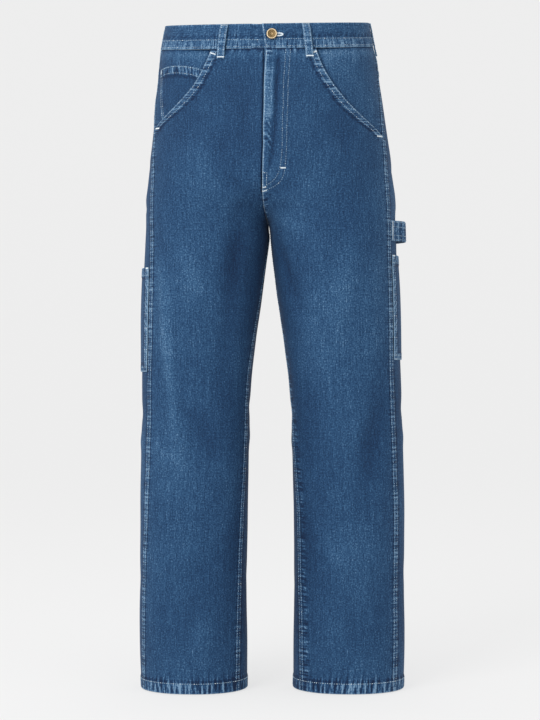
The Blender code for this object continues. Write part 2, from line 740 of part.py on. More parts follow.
def main():
    clear_scene()
    bpy.context.scene.collection.children.link(bpy.data.collections.new("carpenter_pants"))
    for leg in (LEFT, RIGHT):
        add_front(leg)
        add_back(leg)
        add_yoke(leg)
        add_facing(leg)
        add_tool_pocket(leg)
        add_back_pocket(leg)
    add_coin_pocket()
    add_waistband()
    add_belt_loop("belt_loop_front_left", LEFT, 69, 68)
    add_belt_loop("belt_loop_front_right", RIGHT, 71, 70)
    add_belt_loop("belt_loop_side_left", LEFT, -3, -3, FELL_RISE)
    add_belt_loop("belt_loop_side_right", RIGHT, -3, -3, FELL_RISE)
    add_belt_loop("belt_loop_back", LEFT, -90, -90, FELL_RISE)
    add_hammer_loop()
    add_button()


main()
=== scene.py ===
"""Washed denim, felled seams, stitching, folds and a brass button on the shape of carpenter pants.

Metres, +Z up, the front towards -Y and the wearer's left towards +X. Every cloth piece is a grid
that follows one leg's rings: turn is in degrees round the leg, 0 on its outer side, 90 at the
front, 180 on its inner side and -90 at the back, and drop is the length down from the top edge.
"""

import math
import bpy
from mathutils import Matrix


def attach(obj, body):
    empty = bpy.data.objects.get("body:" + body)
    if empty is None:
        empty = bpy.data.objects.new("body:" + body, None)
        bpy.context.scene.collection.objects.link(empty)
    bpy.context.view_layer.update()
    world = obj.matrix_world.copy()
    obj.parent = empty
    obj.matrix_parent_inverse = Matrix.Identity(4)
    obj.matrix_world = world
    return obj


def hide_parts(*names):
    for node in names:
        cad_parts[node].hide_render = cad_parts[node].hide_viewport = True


bl_info = {
    "name": "Carpenter pants",
    "version": (1, 0, 0),
    "blender": (4, 5, 0),
    "location": "3D View > Sidebar > Pants",
    "description": "Dresses the packed shape of carpenter pants in washed and stitched denim",
    "category": "Object",
}

from collections import namedtuple

import bmesh
import bpy
import numpy as np
from mathutils import Matrix, Vector

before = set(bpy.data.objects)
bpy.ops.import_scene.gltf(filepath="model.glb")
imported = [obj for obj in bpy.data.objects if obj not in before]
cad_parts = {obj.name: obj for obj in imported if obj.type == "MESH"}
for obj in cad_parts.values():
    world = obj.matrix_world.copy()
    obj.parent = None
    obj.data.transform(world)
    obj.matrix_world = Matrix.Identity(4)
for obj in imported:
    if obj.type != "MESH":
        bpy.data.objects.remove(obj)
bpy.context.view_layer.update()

MM = 0.001
LEFT, RIGHT = 1, -1
SIDE_NAME = {LEFT: "left", RIGHT: "right"}

# Lengths down from the top edge at the side
BAND_WIDTH = 38.5 * MM
CROTCH = 322.0 * MM
HEM = 1058.0 * MM
FLY_END = 270.0 * MM
SLASH_END = {LEFT: 188.0 * MM, RIGHT: 171.0 * MM}
YOKE_SIDE = 84.0 * MM
YOKE_MIDDLE = 112.0 * MM
YOKE_FLAT_BELOW = 110.0 * MM
WAIST_TOP = 19.0 * MM
WAIST_TILT = 0.176
TILT_GONE = 260.0 * MM
PLUMB_LINE = 105.0 * MM

# Waistband, fly and pocket openings
BAND_PROUD = 1.2 * MM
BAND_CLOTH = 2.8 * MM
BAND_PLY = 1.1 * MM
BAND_ROWS = (24.5 * MM, 35.4 * MM)
OVER_END_TOP = 3.7 * MM
OVER_END_LOW = -2.0 * MM
UNDER_END = 36.0 * MM
UNDER_SINK = BAND_CLOTH + 0.4 * MM
FLY_UNDERLAP = 22.0 * MM
FLY_FADE = 12.0 * MM
FLY_SINK = 2.1 * MM
FLY_RAMP = 3.0 * MM
FLY_EDGE_BACK = 2.4 * MM
FACING_AT_SEAM = 0.3 * MM
FACING_SINK = 5.0 * MM
FACING_SINK_LOW = 1.9 * MM
FACING_SLOPE = 64.0 * MM
FACING_UNDER = 20.0 * MM
COIN_SIDE = 26.0 * MM
COIN_UNDER = 7.0 * MM
COIN_TOP = 63.5 * MM
COIN_LOW = 152.0 * MM
COIN_CROWN = 9.0 * MM
COIN_HEM = 14.0 * MM
COIN_ROWS = (1.8 * MM, 12.2 * MM)
COIN_LIFT = 1.9 * MM
COIN_SIDE_ROWS = (1.4 * MM, 7.0 * MM)
COIN_PLY = 1.2 * MM
PLY = 1.5 * MM
BAND_REACH = 60.0 * MM
BAND_COLUMNS = 621
MIDDLE_GAP = 0.05 * MM

# Sewn-on pieces
PATCH_GAP = 0.5 * MM
PATCH_CLOTH = 1.3 * MM
PATCH_TURNED = 10.0 * MM
POCKET_HEM = 14.0 * MM
POCKET_BULGE = 1.4 * MM
TOOL_POCKET_WIDTH = 96.0 * MM
TOOL_POCKET_HEIGHT = 165.0 * MM
TOOL_POCKET_TOP = {LEFT: 372.0 * MM, RIGHT: 391.0 * MM}
BACK_POCKET_WIDTH = 146.0 * MM
BACK_POCKET_SIDE = 138.0 * MM
BACK_POCKET_POINT = 18.0 * MM
BACK_POCKET_INSET = 34.0 * MM
BACK_POCKET_BELOW_YOKE = 18.0 * MM
BACK_POCKET_NARROWING = 0.08
LOOP_WIDTH = 12.0 * MM
LOOP_CLOTH = 1.6 * MM
LOOP_BOW = {"front": 3.0 * MM, "side": 0.6 * MM, "back": 3.6 * MM}
LOOP_TOP = 1.0 * MM
LOOP_BELOW_BAND = 15.5 * MM
HAMMER_TOP = 318.0 * MM
HAMMER_WIDTH = 32.0 * MM
HAMMER_REACH = 92.0 * MM
HAMMER_BOW = 13.0 * MM
HAMMER_CLOTH = 2.2 * MM
HAMMER_ROWS = (2.4 * MM, 9.0 * MM)
HAMMER_COLUMNS = 52
HAMMER_LINES = 21
LOOP_ROW = 2.2 * MM
LOOP_ROWS = 34
LOOP_COLUMNS = 11
LOOP_TACK_LENGTH = 2.3 * MM
BEHIND_FELL = 11.0 * MM
BUTTON_FROM_MIDDLE = 12.0 * MM
BUTTON_DROP = 17.0 * MM
BUTTON_SEAT = 0.3 * MM

# The buttonhole's slit: its middle from the front's middle, half-length, half-width and stitches
SLIT_MIDDLE = 21.5 * MM
SLIT_DROP = BUTTON_DROP + 0.6 * MM
SLIT_LONG = 7.5 * MM
SLIT_WIDE = 2.0 * MM
SLIT_PROUD = 0.1 * MM
SLIT_PITCH = 0.55 * MM
SLIT_THREAD = 0.8 * MM

# Seams and hems
FELL_WIDTH = 9.0 * MM
FELL_STEP = 1.8 * MM
FELL_RISE = 0.9 * MM
FELL_ROWS = (1.6 * MM, 7.4 * MM)
TUCK = 1.2 * MM
GROOVE = 0.3 * MM
GROOVE_WIDE = 0.9 * MM
EDGE_ROUND = 0.9 * MM
HEM_DEPTH = 18.0 * MM
HEM_STITCH = 16.0 * MM
HEM_RISE = 0.8 * MM
HEM_PITCH = 8.6 * MM
PUCKER_PITCH = 5.4 * MM
GATHER = 0.16 * MM
SLASH_GATHER = 0.22 * MM
TURNED_RISE = 0.5 * MM
TUCK_RAMP = 3.0 * MM
SEAM_SHADE = 1.6 * MM
SLASH_BAND = 10.6 * MM
SLASH_ROWS = (1.9 * MM, 8.8 * MM)

# Thread: how clean each kind of row is, from 0 for dyed to 1 for new, and the bartacks' stitches
ROW_TONE = 0.62
HEM_TONE = 0.7
FELL_TONE = 0.44
HEM_THREAD = 1.15 * MM
TACK_PITCH = 0.6 * MM
TACK_LENGTH = 2.5 * MM
TACK_THREAD = 0.85 * MM

# Rings of the worn shape, in millimetres: drop, left and right outer sides, where the two legs'
# rings meet, the inner side as a share of the outer one, front and back depths, power, twist.
FORM = (
    (0, 157, 166, 0, -1.0, 106, 106, 2.25, -4.8),
    (38, 164, 173, 0, -1.0, 109, 112, 2.25, -4.8),
    (64, 171, 177, 0, -1.0, 112, 118, 2.25, -4.8),
    (96, 175, 180, 0, -1.0, 114, 125, 2.25, -4.8),
    (128, 180, 184, 0, -1.0, 116, 132, 2.25, -4.8),
    (170, 186, 187, -1, -0.97, 117, 137, 2.25, -4.8),
    (200, 190, 190, -1, -0.85, 116, 138, 2.25, -4.8),
    (224, 193, 193, -2, -0.68, 114, 137, 2.25, -4.8),
    (248, 195, 195, -3, -0.49, 110, 133, 2.25, -4.8),
    (268, 197, 197, -4, -0.32, 106, 129, 2.25, -4.8),
    (284, 198, 198, -5, -0.178, 103, 125, 2.25, -4.7),
    (296, 199, 198, -5, -0.090, 101, 122, 2.2, -4.6),
    (306, 199, 199, -4, -0.038, 100, 120, 2.2, -4.5),
    (314, 199, 199, -3, -0.012, 99.5, 118, 2.2, -4.5),
    (322, 200, 199, -2, 0.0, 99, 117, 2.2, -4.4),
    (345, 201, 200, 0, 0.006, 98, 113, 2.15, -4.2),
    (377, 202, 201, 0, 0.024, 96, 109, 2.15, -3.8),
    (441, 205, 203, 0, 0.067, 91, 102, 2.15, -3.0),
    (505, 207, 204, 0, 0.113, 85, 95, 2.15, -2.2),
    (569, 210, 205, 0, 0.147, 80, 89, 2.15, -1.4),
    (633, 212, 205, 0, 0.162, 77, 85, 2.15, -0.8),
    (729, 214, 206, 0, 0.171, 74, 81, 2.15, -0.3),
    (857, 215, 207, 0, 0.174, 73, 76, 2.15, 0.0),
    (985, 215, 208, 0, 0.174, 74, 71, 2.15, 0.0),
    (1058, 213, 206, 0, 0.174, 74, 69, 2.15, 0.0),
)

# Seams, in degrees forward of the outer and inner sides: drop, outseams, inseams (left, right)
SEAMS = (
    (0, 5, 5, 0, 0),
    (60, 6, 6, 0, 0),
    (122, 12, 11, 0, 0),
    (188, 18, 20, 0, 0),
    (286, 28, 35, 0, 0),
    (322, 30, 38, 0, 0),
    (381, 32, 40, 2, 8),
    (443, 35, 41, 4, 14),
    (506, 38, 41, 6, 19),
    (569, 41, 40, 9, 23),
    (678, 41, 39, 20, 25),
    (786, 40, 35, 28, 31),
    (857, 41, 32, 30, 34),
    (946, 42, 31, 34, 37),
    (1058, 42, 27, 36, 40),
)

# The slanted pocket openings: drop, and each side's distance from the middle (left, right)
SLASH = (
    (38, 79, 82.5),
    (64, 88.5, 94.3),
    (80, 96.3, 102.3),
    (96, 105.6, 111.6),
    (112, 116.6, 124),
    (128, 129, 139),
    (144, 143.5, 155),
    (160, 159, 171.5),
    (173, 172, 181.5),
    (190, 187, 190),
)

# Largest folds round the legs: width and height in millimetres
Fold = namedtuple("Fold", "leg turn_top drop_top turn_low drop_low wide high")
FOLDS = [
    Fold(*row)
    for row in (
        (RIGHT, 50, 360, 80, 740, 11, 3.4),
        (RIGHT, 92, 600, 112, 700, 16, -2.6),
        (RIGHT, 122, 250, 118, 620, 20, -3.0),
        (LEFT, 55, 560, 84, 800, 22, -4.2),
        (LEFT, 66, 330, 120, 620, 20, 1.6),
        (LEFT, 150, 330, 124, 480, 14, -3.0),
        (LEFT, -40, 560, -100, 700, 18, -3.2),
        (RIGHT, -40, 570, -105, 720, 18, -3.2),
        (LEFT, -140, 330, -110, 480, 16, -3.0),
        (RIGHT, -140, 340, -110, 500, 16, -3.0),
        (LEFT, -70, 720, -95, 985, 17, 2.8),
        (RIGHT, -75, 710, -100, 970, 17, 2.8),
    )
]

# Smaller creases, as seen square on from one side. face: the side that shows them. wide, high:
# half-width and height in millimetres, a trough if negative. points: across and up from the
# origin, in millimetres, where across is x on the front and back and y on the outer sides.
Crease = namedtuple("Crease", "face wide high points")
CREASES = [
    Crease(*row)
    for row in (
        ("front", 7, -1.5, ((-24, -104), (-30, -150), (-34, -192))),
        ("front", 9, -1.4, ((-50, -150), (-66, -190), (-84, -236))),
        ("front", 4, -1.0, ((-114, -35), (-102, -41), (-90, -50))),
        ("front", 5, 0.9, ((76, -42), (92, -46), (108, -50))),
        ("front", 5, 0.9, ((6, -158), (14, -184), (12, -206))),
        ("front", 9, -1.8, ((-12, -262), (-40, -244), (-70, -236))),
        ("front", 10, -1.8, ((-4, -262), (28, -250), (62, -246))),
        ("front", 12, 1.6, ((8, -286), (34, -302), (66, -330))),
        ("front", 12, -1.4, ((-20, -300), (-44, -340), (-56, -400))),
        ("front", 6, 0.9, ((146, -150), (152, -166), (142, -178))),
        ("front", 7, -1.2, ((96, -148), (120, -176), (134, -212))),
        ("front", 12, 1.3, ((-150, -330), (-120, -372), (-96, -440))),
        ("front", 14, -1.2, ((60, -420), (92, -470), (110, -540))),
        ("front", 15, 1.5, ((170, -560), (150, -610), (120, -650))),
        ("front", 11, -1.3, ((-170, -560), (-140, -590), (-112, -606))),
        ("front", 12, 1.2, ((-190, -640), (-160, -668), (-120, -690))),
        ("front", 10, -1.1, ((62, -660), (92, -700), (132, -720))),
        ("front", 12, 1.0, ((70, -790), (110, -830), (150, -850))),
        ("front", 12, -1.0, ((-72, -800), (-108, -846), (-150, -870))),
        ("front", 14, 1.0, ((-96, -900), (-110, -950), (-104, -1010))),
        ("front", 13, -0.9, ((118, -900), (128, -960), (120, -1016))),
        ("back", 12, -2.4, ((-4, -282), (40, -262), (96, -270))),
        ("back", 12, -2.2, ((-4, -282), (-46, -258), (-104, -268))),
        ("back", 10, -1.8, ((10, -306), (52, -318), (108, -300))),
        ("back", 11, -1.8, ((-14, -310), (-58, -322), (-118, -306))),
        ("back", 10, 1.5, ((16, -240), (60, -236), (110, -250))),
        ("back", 10, 1.5, ((-18, -242), (-66, -238), (-116, -252))),
        ("back", 13, -1.8, ((52, -560), (100, -582), (160, -574))),
        ("back", 13, 1.6, ((56, -596), (110, -612), (172, -600))),
        ("back", 13, -1.8, ((-50, -566), (-100, -586), (-158, -580))),
        ("back", 13, 1.6, ((-56, -604), (-104, -618), (-168, -608))),
        ("back", 12, -1.4, ((66, -700), (106, -722), (150, -716))),
        ("back", 12, -1.4, ((-64, -706), (-108, -728), (-152, -720))),
        ("back", 14, 1.2, ((90, -860), (120, -900), (112, -980))),
        ("back", 14, 1.2, ((-92, -866), (-116, -910), (-110, -984))),
        ("left", 11, -1.7, ((-40, -196), (-4, -214), (42, -250))),
        ("left", 12, 1.3, ((-46, -240), (0, -262), (50, -288))),
        ("left", 13, -1.6, ((50, -560), (10, -590), (-34, -604))),
        ("left", 13, 1.3, ((48, -620), (6, -640), (-38, -640))),
        ("left", 14, -1.1, ((-30, -820), (4, -870), (10, -950))),
        ("right", 11, -1.7, ((-36, -204), (4, -222), (46, -252))),
        ("right", 12, 1.3, ((-44, -250), (2, -270), (52, -296))),
        ("right", 13, -1.6, ((48, -566), (8, -598), (-36, -612))),
        ("right", 13, 1.3, ((46, -628), (4, -646), (-40, -652))),
        ("right", 14, -1.1, ((-28, -830), (2, -880), (12, -956))),
    )
]
FACE_AXES = {"front": (1, -1), "back": (1, 1), "left": (0, 1), "right": (0, -1)}

# Rows of the fly's stitching: distance from the fly's edge, and drop, in millimetres
FLY_OUTER = (
    (38, 40), (37, 120), (36.4, 190), (36, 226), (34.6, 248), (31, 259), (25, 266), (15, 271.6),
    (0.8, 275),
)
FLY_INNER = (
    (31, 40), (30, 120), (29.6, 190), (29.2, 222), (27.4, 242), (23.6, 253), (17.5, 260.5),
    (10, 265.5), (0.8, 269.5),
)
FLY_BOX = ((1.2, 270), (1.2, 249), (1.3, 248), (7.4, 248), (7.5, 249), (7.5, 267))
FLY_BARTACKS = (((28.5, 241.5), (36.5, 241.5)), ((0.8, 270), (7, 269)), ((0.8, 275.4), (8, 274)))

# Half of the button's profile, cap first, as radius and height in millimetres
BUTTON_PROFILE = (
    (0.0, 1.75), (1.0, 1.75), (1.5, 1.95), (1.9, 2.4), (2.6, 2.75), (4.4, 3.1), (5.6, 3.4),
    (6.4, 3.85), (7.1, 4.1), (7.7, 3.85), (8.2, 3.2), (8.3, 2.35), (7.9, 1.8), (7.0, 1.6),
    (3.2, 1.4), (2.6, 0.9), (2.6, 0.0), (0.0, 0.0),
)
BUTTON_SIDES = 56

# How pale its rings are: the rim rubbed by wear, the centre with a painted highlight, and a little
# in the dish: radius and half-width in millimetres, and share
BUTTON_RUBBED_AND_HIGHLIT = ((7.2, 0.9, 1.1), (1.4, 0.9, 0.75), (4.6, 0.8, 0.3))
BUTTON_DULL = 0.04


def smooth_step(share):
    """0 below 0, 1 above 1, and an even S between."""
    share = np.clip(share, 0.0, 1.0)
    return share * share * (3.0 - 2.0 * share)


def within(distance, width, blur):
    """1 up to a width, then falling to 0 over the blur."""
    return 1 - smooth_step((distance - width) / blur)


def window(value, start, end, rise, fall):
    """1 between two places, rising and falling inside them, all but the value in millimetres."""
    begun = smooth_step((value - start * MM) / (rise * MM))
    return begun * smooth_step((end * MM - value) / (fall * MM))


def swell(distance, width):
    """1 at no distance, falling off evenly over about the width."""
    return np.exp(-((distance / width) ** 2))


def ripple(phase, seed=0.0):
    """An uneven wave between about -1 and 1."""
    return (
        np.sin(phase + seed)
        + 0.55 * np.sin(0.63 * phase + 2.1 * seed + 1.0)
        + 0.4 * np.sin(1.71 * phase + 0.7 * seed + 2.0)
    ) / 1.6


def dapple(across, down, seed=0.0):
    """A soft uneven field between about -1 and 1, with dents about one unit apart."""
    total = 0.0
    for turn, rate, start in ((0.3, 5.1, 0.0), (1.4, 6.3, 1.7), (2.3, 4.4, 3.1), (2.9, 7.2, 4.6)):
        way = across * math.cos(turn) + down * math.sin(turn)
        total = total + np.sin(rate * way + start + seed * (1.0 + turn))
    return total / 2.4


class Curve:
    """A smooth curve through one column of a table, with no overshoot between its rows."""

    def __init__(self, rows, column, scale=1.0):
        self.at = np.array([row[0] for row in rows]) * MM
        self.value = np.array([row[column] for row in rows]) * scale
        steps = np.diff(self.value) / np.diff(self.at)
        before, after = steps[:-1], steps[1:]
        together = before * after > 0
        total = np.where(together, before + after, 1.0)
        inside = np.where(together, 2 * before * after / total, 0.0)
        self.slope = np.concatenate((steps[:1], inside, steps[-1:]))

    def __call__(self, drop):
        drop = np.clip(drop, self.at[0], self.at[-1])
        i = np.clip(np.searchsorted(self.at, drop, side="right") - 1, 0, len(self.at) - 2)
        span = self.at[i + 1] - self.at[i]
        t = (drop - self.at[i]) / span
        return (
            (1 + 2 * t) * (1 - t) ** 2 * self.value[i]
            + t * (1 - t) ** 2 * span * self.slope[i]
            + t * t * (3 - 2 * t) * self.value[i + 1]
            + t * t * (t - 1) * span * self.slope[i + 1]
        )


OUTER = {LEFT: Curve(FORM, 1, MM), RIGHT: Curve(FORM, 2, MM)}
MIDDLE = Curve(FORM, 3, MM)
INNER = Curve(FORM, 4)
FRONT = Curve(FORM, 5, MM)
BACK = Curve(FORM, 6, MM)
ROUND = Curve(FORM, 7)
TWIST = Curve(FORM, 8, math.pi / 180)
OUTSEAM = {LEFT: Curve(SEAMS, 1), RIGHT: Curve(SEAMS, 2)}
INSEAM = {LEFT: Curve(SEAMS, 3), RIGHT: Curve(SEAMS, 4)}
SLASH_ACROSS = {LEFT: Curve(SLASH, 1, MM), RIGHT: Curve(SLASH, 2, MM)}


def outer_reach(leg, drop):
    """From the plane where the legs meet to the leg's outer side."""
    return np.where(leg > 0, OUTER[LEFT](drop), OUTER[RIGHT](drop)) - leg * MIDDLE(drop)


def ring_point(leg, turn, drop):
    """A point of one leg's ring before folds and twist: out from the middle, back, and up."""
    outer = outer_reach(leg, drop)
    inner = outer * INNER(drop)
    power = 2.0 / ROUND(drop)
    c = np.cos(np.radians(turn))
    s = np.sin(np.radians(turn))
    out = (outer + inner) / 2 + (outer - inner) / 2 * np.copysign(np.abs(c) ** power, c)
    y = -np.copysign(np.abs(s) ** power, s) * np.where(s > 0, FRONT(drop), BACK(drop))
    tilt = WAIST_TILT * (1 - smooth_step((drop - BAND_WIDTH) / (TILT_GONE - BAND_WIDTH)))
    return np.stack((out, y, WAIST_TOP - drop + tilt * y), axis=-1)


def fold_height(leg, turn, drop):
    """How far the largest folds push the cloth out."""
    height = np.zeros_like(drop)
    depth = 0.5 * (FRONT(drop) + BACK(drop)) / MM
    for fold in FOLDS:
        share = np.clip((drop / MM - fold.drop_top) / (fold.drop_low - fold.drop_top), 0, 1)
        middle = fold.turn_top + (fold.turn_low - fold.turn_top) * share
        off = (turn - middle + 180) % 360 - 180
        here = fold.high * np.sin(np.pi * share) * swell(np.radians(off) * depth, fold.wide)
        height = height + np.where(leg == fold.leg, here, 0.0)
    return height * MM


def crease_height(place, out):
    """How far the smaller creases push the cloth out, for places and ways out of the cloth."""
    height = np.zeros(place.shape[:-1])
    for crease in CREASES:
        axis, sign = FACE_AXES[crease.face]
        facing = smooth_step((sign * out[..., axis] - 0.2) / 0.4)
        flat = place[..., (1 - axis, 2)] / MM
        nearest = np.full(height.shape, np.inf)
        along = np.zeros(height.shape)
        parts = list(zip(crease.points, crease.points[1:]))
        for i, (start, end) in enumerate(parts):
            start, way = np.array(start, float), np.subtract(end, start)
            share = np.clip((flat - start) @ way / (way @ way), 0, 1)
            off = np.linalg.norm(flat - start - share[..., None] * way, axis=-1)
            along = np.where(off < nearest, (i + share) / len(parts), along)
            nearest = np.minimum(off, nearest)
        ends = np.sin(np.pi * np.clip(along, 0.04, 0.96))
        height += crease.high * ends * facing * swell(nearest, crease.wide)
    return height * MM


def lie_of_cloth(place, leg):
    """The gentle unevenness of washed cloth that hangs."""
    wide = dapple(place[..., 0] / 0.16, place[..., 2] / 0.24, 1.0 + leg)
    small = dapple(place[..., 0] / 0.05, place[..., 2] / 0.09, 3.0 + leg)
    return 0.7 * MM * wide + 0.22 * MM * small


def cloth_place(leg, turn, drop, lift=0.0, beyond_middle=None):
    """Places on the cloth and the ways out of it. beyond_middle limits a piece to its own side."""
    turn, drop = np.broadcast_arrays(np.asarray(turn, float), np.asarray(drop, float))
    around = ring_point(leg, turn + 1.5, drop) - ring_point(leg, turn - 1.5, drop)
    down = ring_point(leg, turn, drop + 1.5 * MM) - ring_point(leg, turn, drop - 1.5 * MM)
    out = unit(np.cross(around, down))
    base = ring_point(leg, turn, drop)
    mirror = np.stack(np.broadcast_arrays(leg, 1.0, 1.0), axis=-1)
    seen, way = base * mirror, out * mirror
    loose = smooth_step((drop - BAND_WIDTH) / (30 * MM))
    height = fold_height(leg, turn, drop)
    height = height + loose * (crease_height(seen, way) + lie_of_cloth(seen, leg))
    place = base + out * (height + lift)[..., None]
    if beyond_middle is not None:
        place[..., 0] = np.maximum(place[..., 0], beyond_middle)
    place, out = place * mirror, out * mirror
    place[..., 0] += MIDDLE(drop)
    return turned(place, TWIST(drop)), turned(out, TWIST(drop)), height


def turned(points, angle):
    """Points turned about the vertical."""
    c, s = np.cos(angle), np.sin(angle)
    x, y = points[..., 0], points[..., 1]
    return np.stack((x * c - y * s, x * s + y * c, points[..., 2]), axis=-1)


def split_turn(drop):
    """The turn at which the ring of a leg meets the middle of the body, or its inner side."""
    share = INNER(drop)
    reach = np.clip((1 + share) / (1 - share), 0, 1)
    return np.where(share >= 0, 180.0, 180.0 - np.degrees(np.arccos(reach ** (ROUND(drop) / 2))))


def outseam_turn(leg, drop):
    return OUTSEAM[leg](drop)


def quarter_front(leg, drop):
    return np.full_like(drop, 90.0)


def quarter_back(leg, drop):
    return np.full_like(drop, -90.0)


def front_end(leg, drop):
    """The turn at which the front panel ends: the middle seam, then the inseam."""
    return split_turn(drop) - np.where(drop > CROTCH, INSEAM[leg](drop), 0.0)


def back_end(leg, drop):
    """The turn at which the back panel ends, going round by the back."""
    return np.where(drop > CROTCH, front_end(leg, drop) - 360.0, -split_turn(drop))


def slash_turn(leg, drop):
    """The turn of the pocket opening's edge, or of the outseam below it."""
    seam = OUTSEAM[leg](drop)
    share = np.clip(SLASH_ACROSS[leg](drop) / outer_reach(leg, drop), 0, 1)
    slant = np.degrees(np.arccos(share ** (ROUND(drop) / 2)))
    return np.where(drop >= SLASH_END[leg], seam, np.maximum(seam, slant))


def slash_lean(leg, drop):
    """How much longer a way across the ring is than one square to the slanted edge."""
    step = 2 * MM
    slant = (SLASH_ACROSS[leg](drop + step) - SLASH_ACROSS[leg](drop - step)) / (2 * step)
    tangent = np.sin(np.radians(slash_turn(leg, drop)))
    steep = np.clip(slant / np.clip(tangent, 0.5, 1), 0, 1.3) * (drop < SLASH_END[leg])
    return np.sqrt(1 + steep ** 2)


def read_between(table, row, column):
    """Values of a table, or of a table of points, between its rows and columns."""
    i = np.clip(np.floor(row).astype(int), 0, table.shape[0] - 2)
    j = np.clip(np.floor(column).astype(int), 0, table.shape[1] - 2)
    down, across = row - i, column - j
    if table.ndim == 3:
        down, across = down[..., None], across[..., None]
    upper = table[i, j] * (1 - across) + table[i, j + 1] * across
    lower = table[i + 1, j] * (1 - across) + table[i + 1, j + 1] * across
    return upper * (1 - down) + lower * down


class Stretch:
    """The way along a leg's rings from one seam to another, measured along the cloth."""

    SHARES = np.linspace(0.0, 1.0, 161)

    def __init__(self, leg, start, end, top=0.0, low=HEM, step=3 * MM):
        self.drops = np.arange(top, low + step, step)
        drops = np.minimum(self.drops, HEM)[:, None]
        first = start(leg, drops)
        turns = first + (end(leg, drops) - first) * self.SHARES
        places = ring_point(leg, turns, np.broadcast_to(drops, turns.shape))
        steps = np.linalg.norm(np.diff(places, axis=1), axis=-1)
        along = np.concatenate((np.zeros((len(drops), 1)), np.cumsum(steps, axis=1)), axis=1)
        self.lengths = along[:, -1]
        even = [np.interp(self.SHARES * a[-1], a, t) for a, t in zip(along, turns)]
        self.turns = np.array(even)

    def length(self, drop):
        return np.interp(drop, self.drops, self.lengths)

    def turn(self, distance, drop):
        """The turn at a distance from the start; a little past either end is allowed."""
        share = distance / self.length(drop) * (len(self.SHARES) - 1)
        row = np.interp(drop, self.drops, np.arange(len(self.drops)))
        return read_between(self.turns, row, share)


class Grain:
    """How far round a ring a place is from the leg's middle line, so that the warp runs down it."""

    TURNS = np.linspace(-270.0, 270.0, 541)

    def __init__(self):
        self.drops = np.arange(0.0, HEM + 6 * MM, 6 * MM)
        drops = np.minimum(self.drops, HEM)[:, None]
        self.along = {}
        for leg in (LEFT, RIGHT):
            places = ring_point(leg, self.TURNS, drops + 0 * self.TURNS)
            steps = np.linalg.norm(np.diff(places, axis=1), axis=-1)
            along = np.concatenate((np.zeros((len(drops), 1)), np.cumsum(steps, axis=1)), axis=1)
            self.along[leg] = along

    def across(self, leg, turn, drop, side):
        """Signed length round the ring from a plumb line on the leg's front (1) or back (-1)."""
        return self.at(leg, turn, drop) - self.at(leg, side * plumb_turn(leg, drop), drop)

    def at(self, leg, turn, drop):
        row = np.interp(drop, self.drops, np.arange(len(self.drops)))
        return read_between(self.along[leg], row, turn - self.TURNS[0])


def plumb_turn(leg, drop):
    """The turn at which a leg's ring passes a plumb line down the front of the leg."""
    outer = outer_reach(leg, drop)
    inner = outer * INNER(drop)
    share = np.clip((PLUMB_LINE - (outer + inner) / 2) / ((outer - inner) / 2), -1, 1)
    return np.degrees(np.arccos(np.copysign(np.abs(share) ** (ROUND(drop) / 2), share)))


GRAIN = Grain()
FRONT_SIDE, BACK_SIDE = 1, -1


def spans(*rows):
    """Numbers from start to end for each (start, end, step), in millimetres, as metres."""
    values = []
    for start, end, step in rows:
        count = max(1, round((end - start) / step))
        values += list(np.linspace(start, end, count + 1)[:-1])
    return np.array(values + [rows[-1][1]]) * MM


PANEL_ROWS = spans(
    (37.5, 60, 2.2), (60, 290, 4.6), (290, 345, 3.4), (345, 1020, 4.9), (1020, 1055, 1.9),
    (1055, 1058, 0.8),
)
SEAM_COLUMNS = np.array((0.05, 0.5, 1.1, 1.9, 3.0, 4.5, 6.0, 7.2, 8.4, 9.3, 10.2, 11.2, 13.0)) * MM
PATCH_COLUMNS = np.array((0.0, 0.5, 1.0, 1.8, 3.0, 4.6, 6.2, 7.6, 9.0, 11.0, 13.0)) * MM
FRONT_GATHERED, BACK_GATHERED, PATCH_GATHERED = 0.62, 0.55, 0.6
COIN_GATHERED, LOOP_GATHERED = 0.7, 0.3
FRONT_COLUMNS = 88
BACK_COLUMNS = 101
YOKE_COLUMNS = 84
YOKE_ROWS = 26


def columns_across(length, plain, start=SEAM_COLUMNS, end=SEAM_COLUMNS):
    """Distances across every row: close together at the seams and even between them."""
    length = np.asarray(length)[:, None]
    between = start[-1] + (length - start[-1] - end[-1]) * np.linspace(0, 1, plain + 1)[1:-1]
    first = np.broadcast_to(start, (len(length), len(start)))
    return np.concatenate((first, between, length - end[::-1]), axis=1)


def edge_fall(distance):
    """A folded edge curls down over its last millimetre."""
    return -0.6 * MM * np.clip(1 - distance / EDGE_ROUND, 0, 1) ** 2


def grooves(distance, rows):
    """The cloth is pulled in along rows of stitches."""
    return -GROOVE * sum(swell(distance - row, GROOVE_WIDE) for row in rows)


def felled(distance, along):
    """Height of a felled seam's band at a distance from its edge."""
    band = within(distance, FELL_WIDTH, FELL_STEP)
    gather = GATHER * ripple(2 * np.pi * along / PUCKER_PITCH)
    return band * (FELL_RISE + gather) + edge_fall(distance) + grooves(distance, FELL_ROWS)


def felled_wear_and_shade(distance):
    """A felled seam is pale on its edges from wear, with a painted shadow beside it where its band
    steps down onto the cloth.
    """
    band = within(distance, FELL_WIDTH, FELL_STEP)
    edges = swell(distance - 0.6 * MM, 0.9 * MM) + 0.5 * swell(distance - FELL_WIDTH, 1.1 * MM)
    return 0.05 * band + 0.34 * edges - 0.4 * swell(distance - 11.6 * MM, 1.5 * MM)


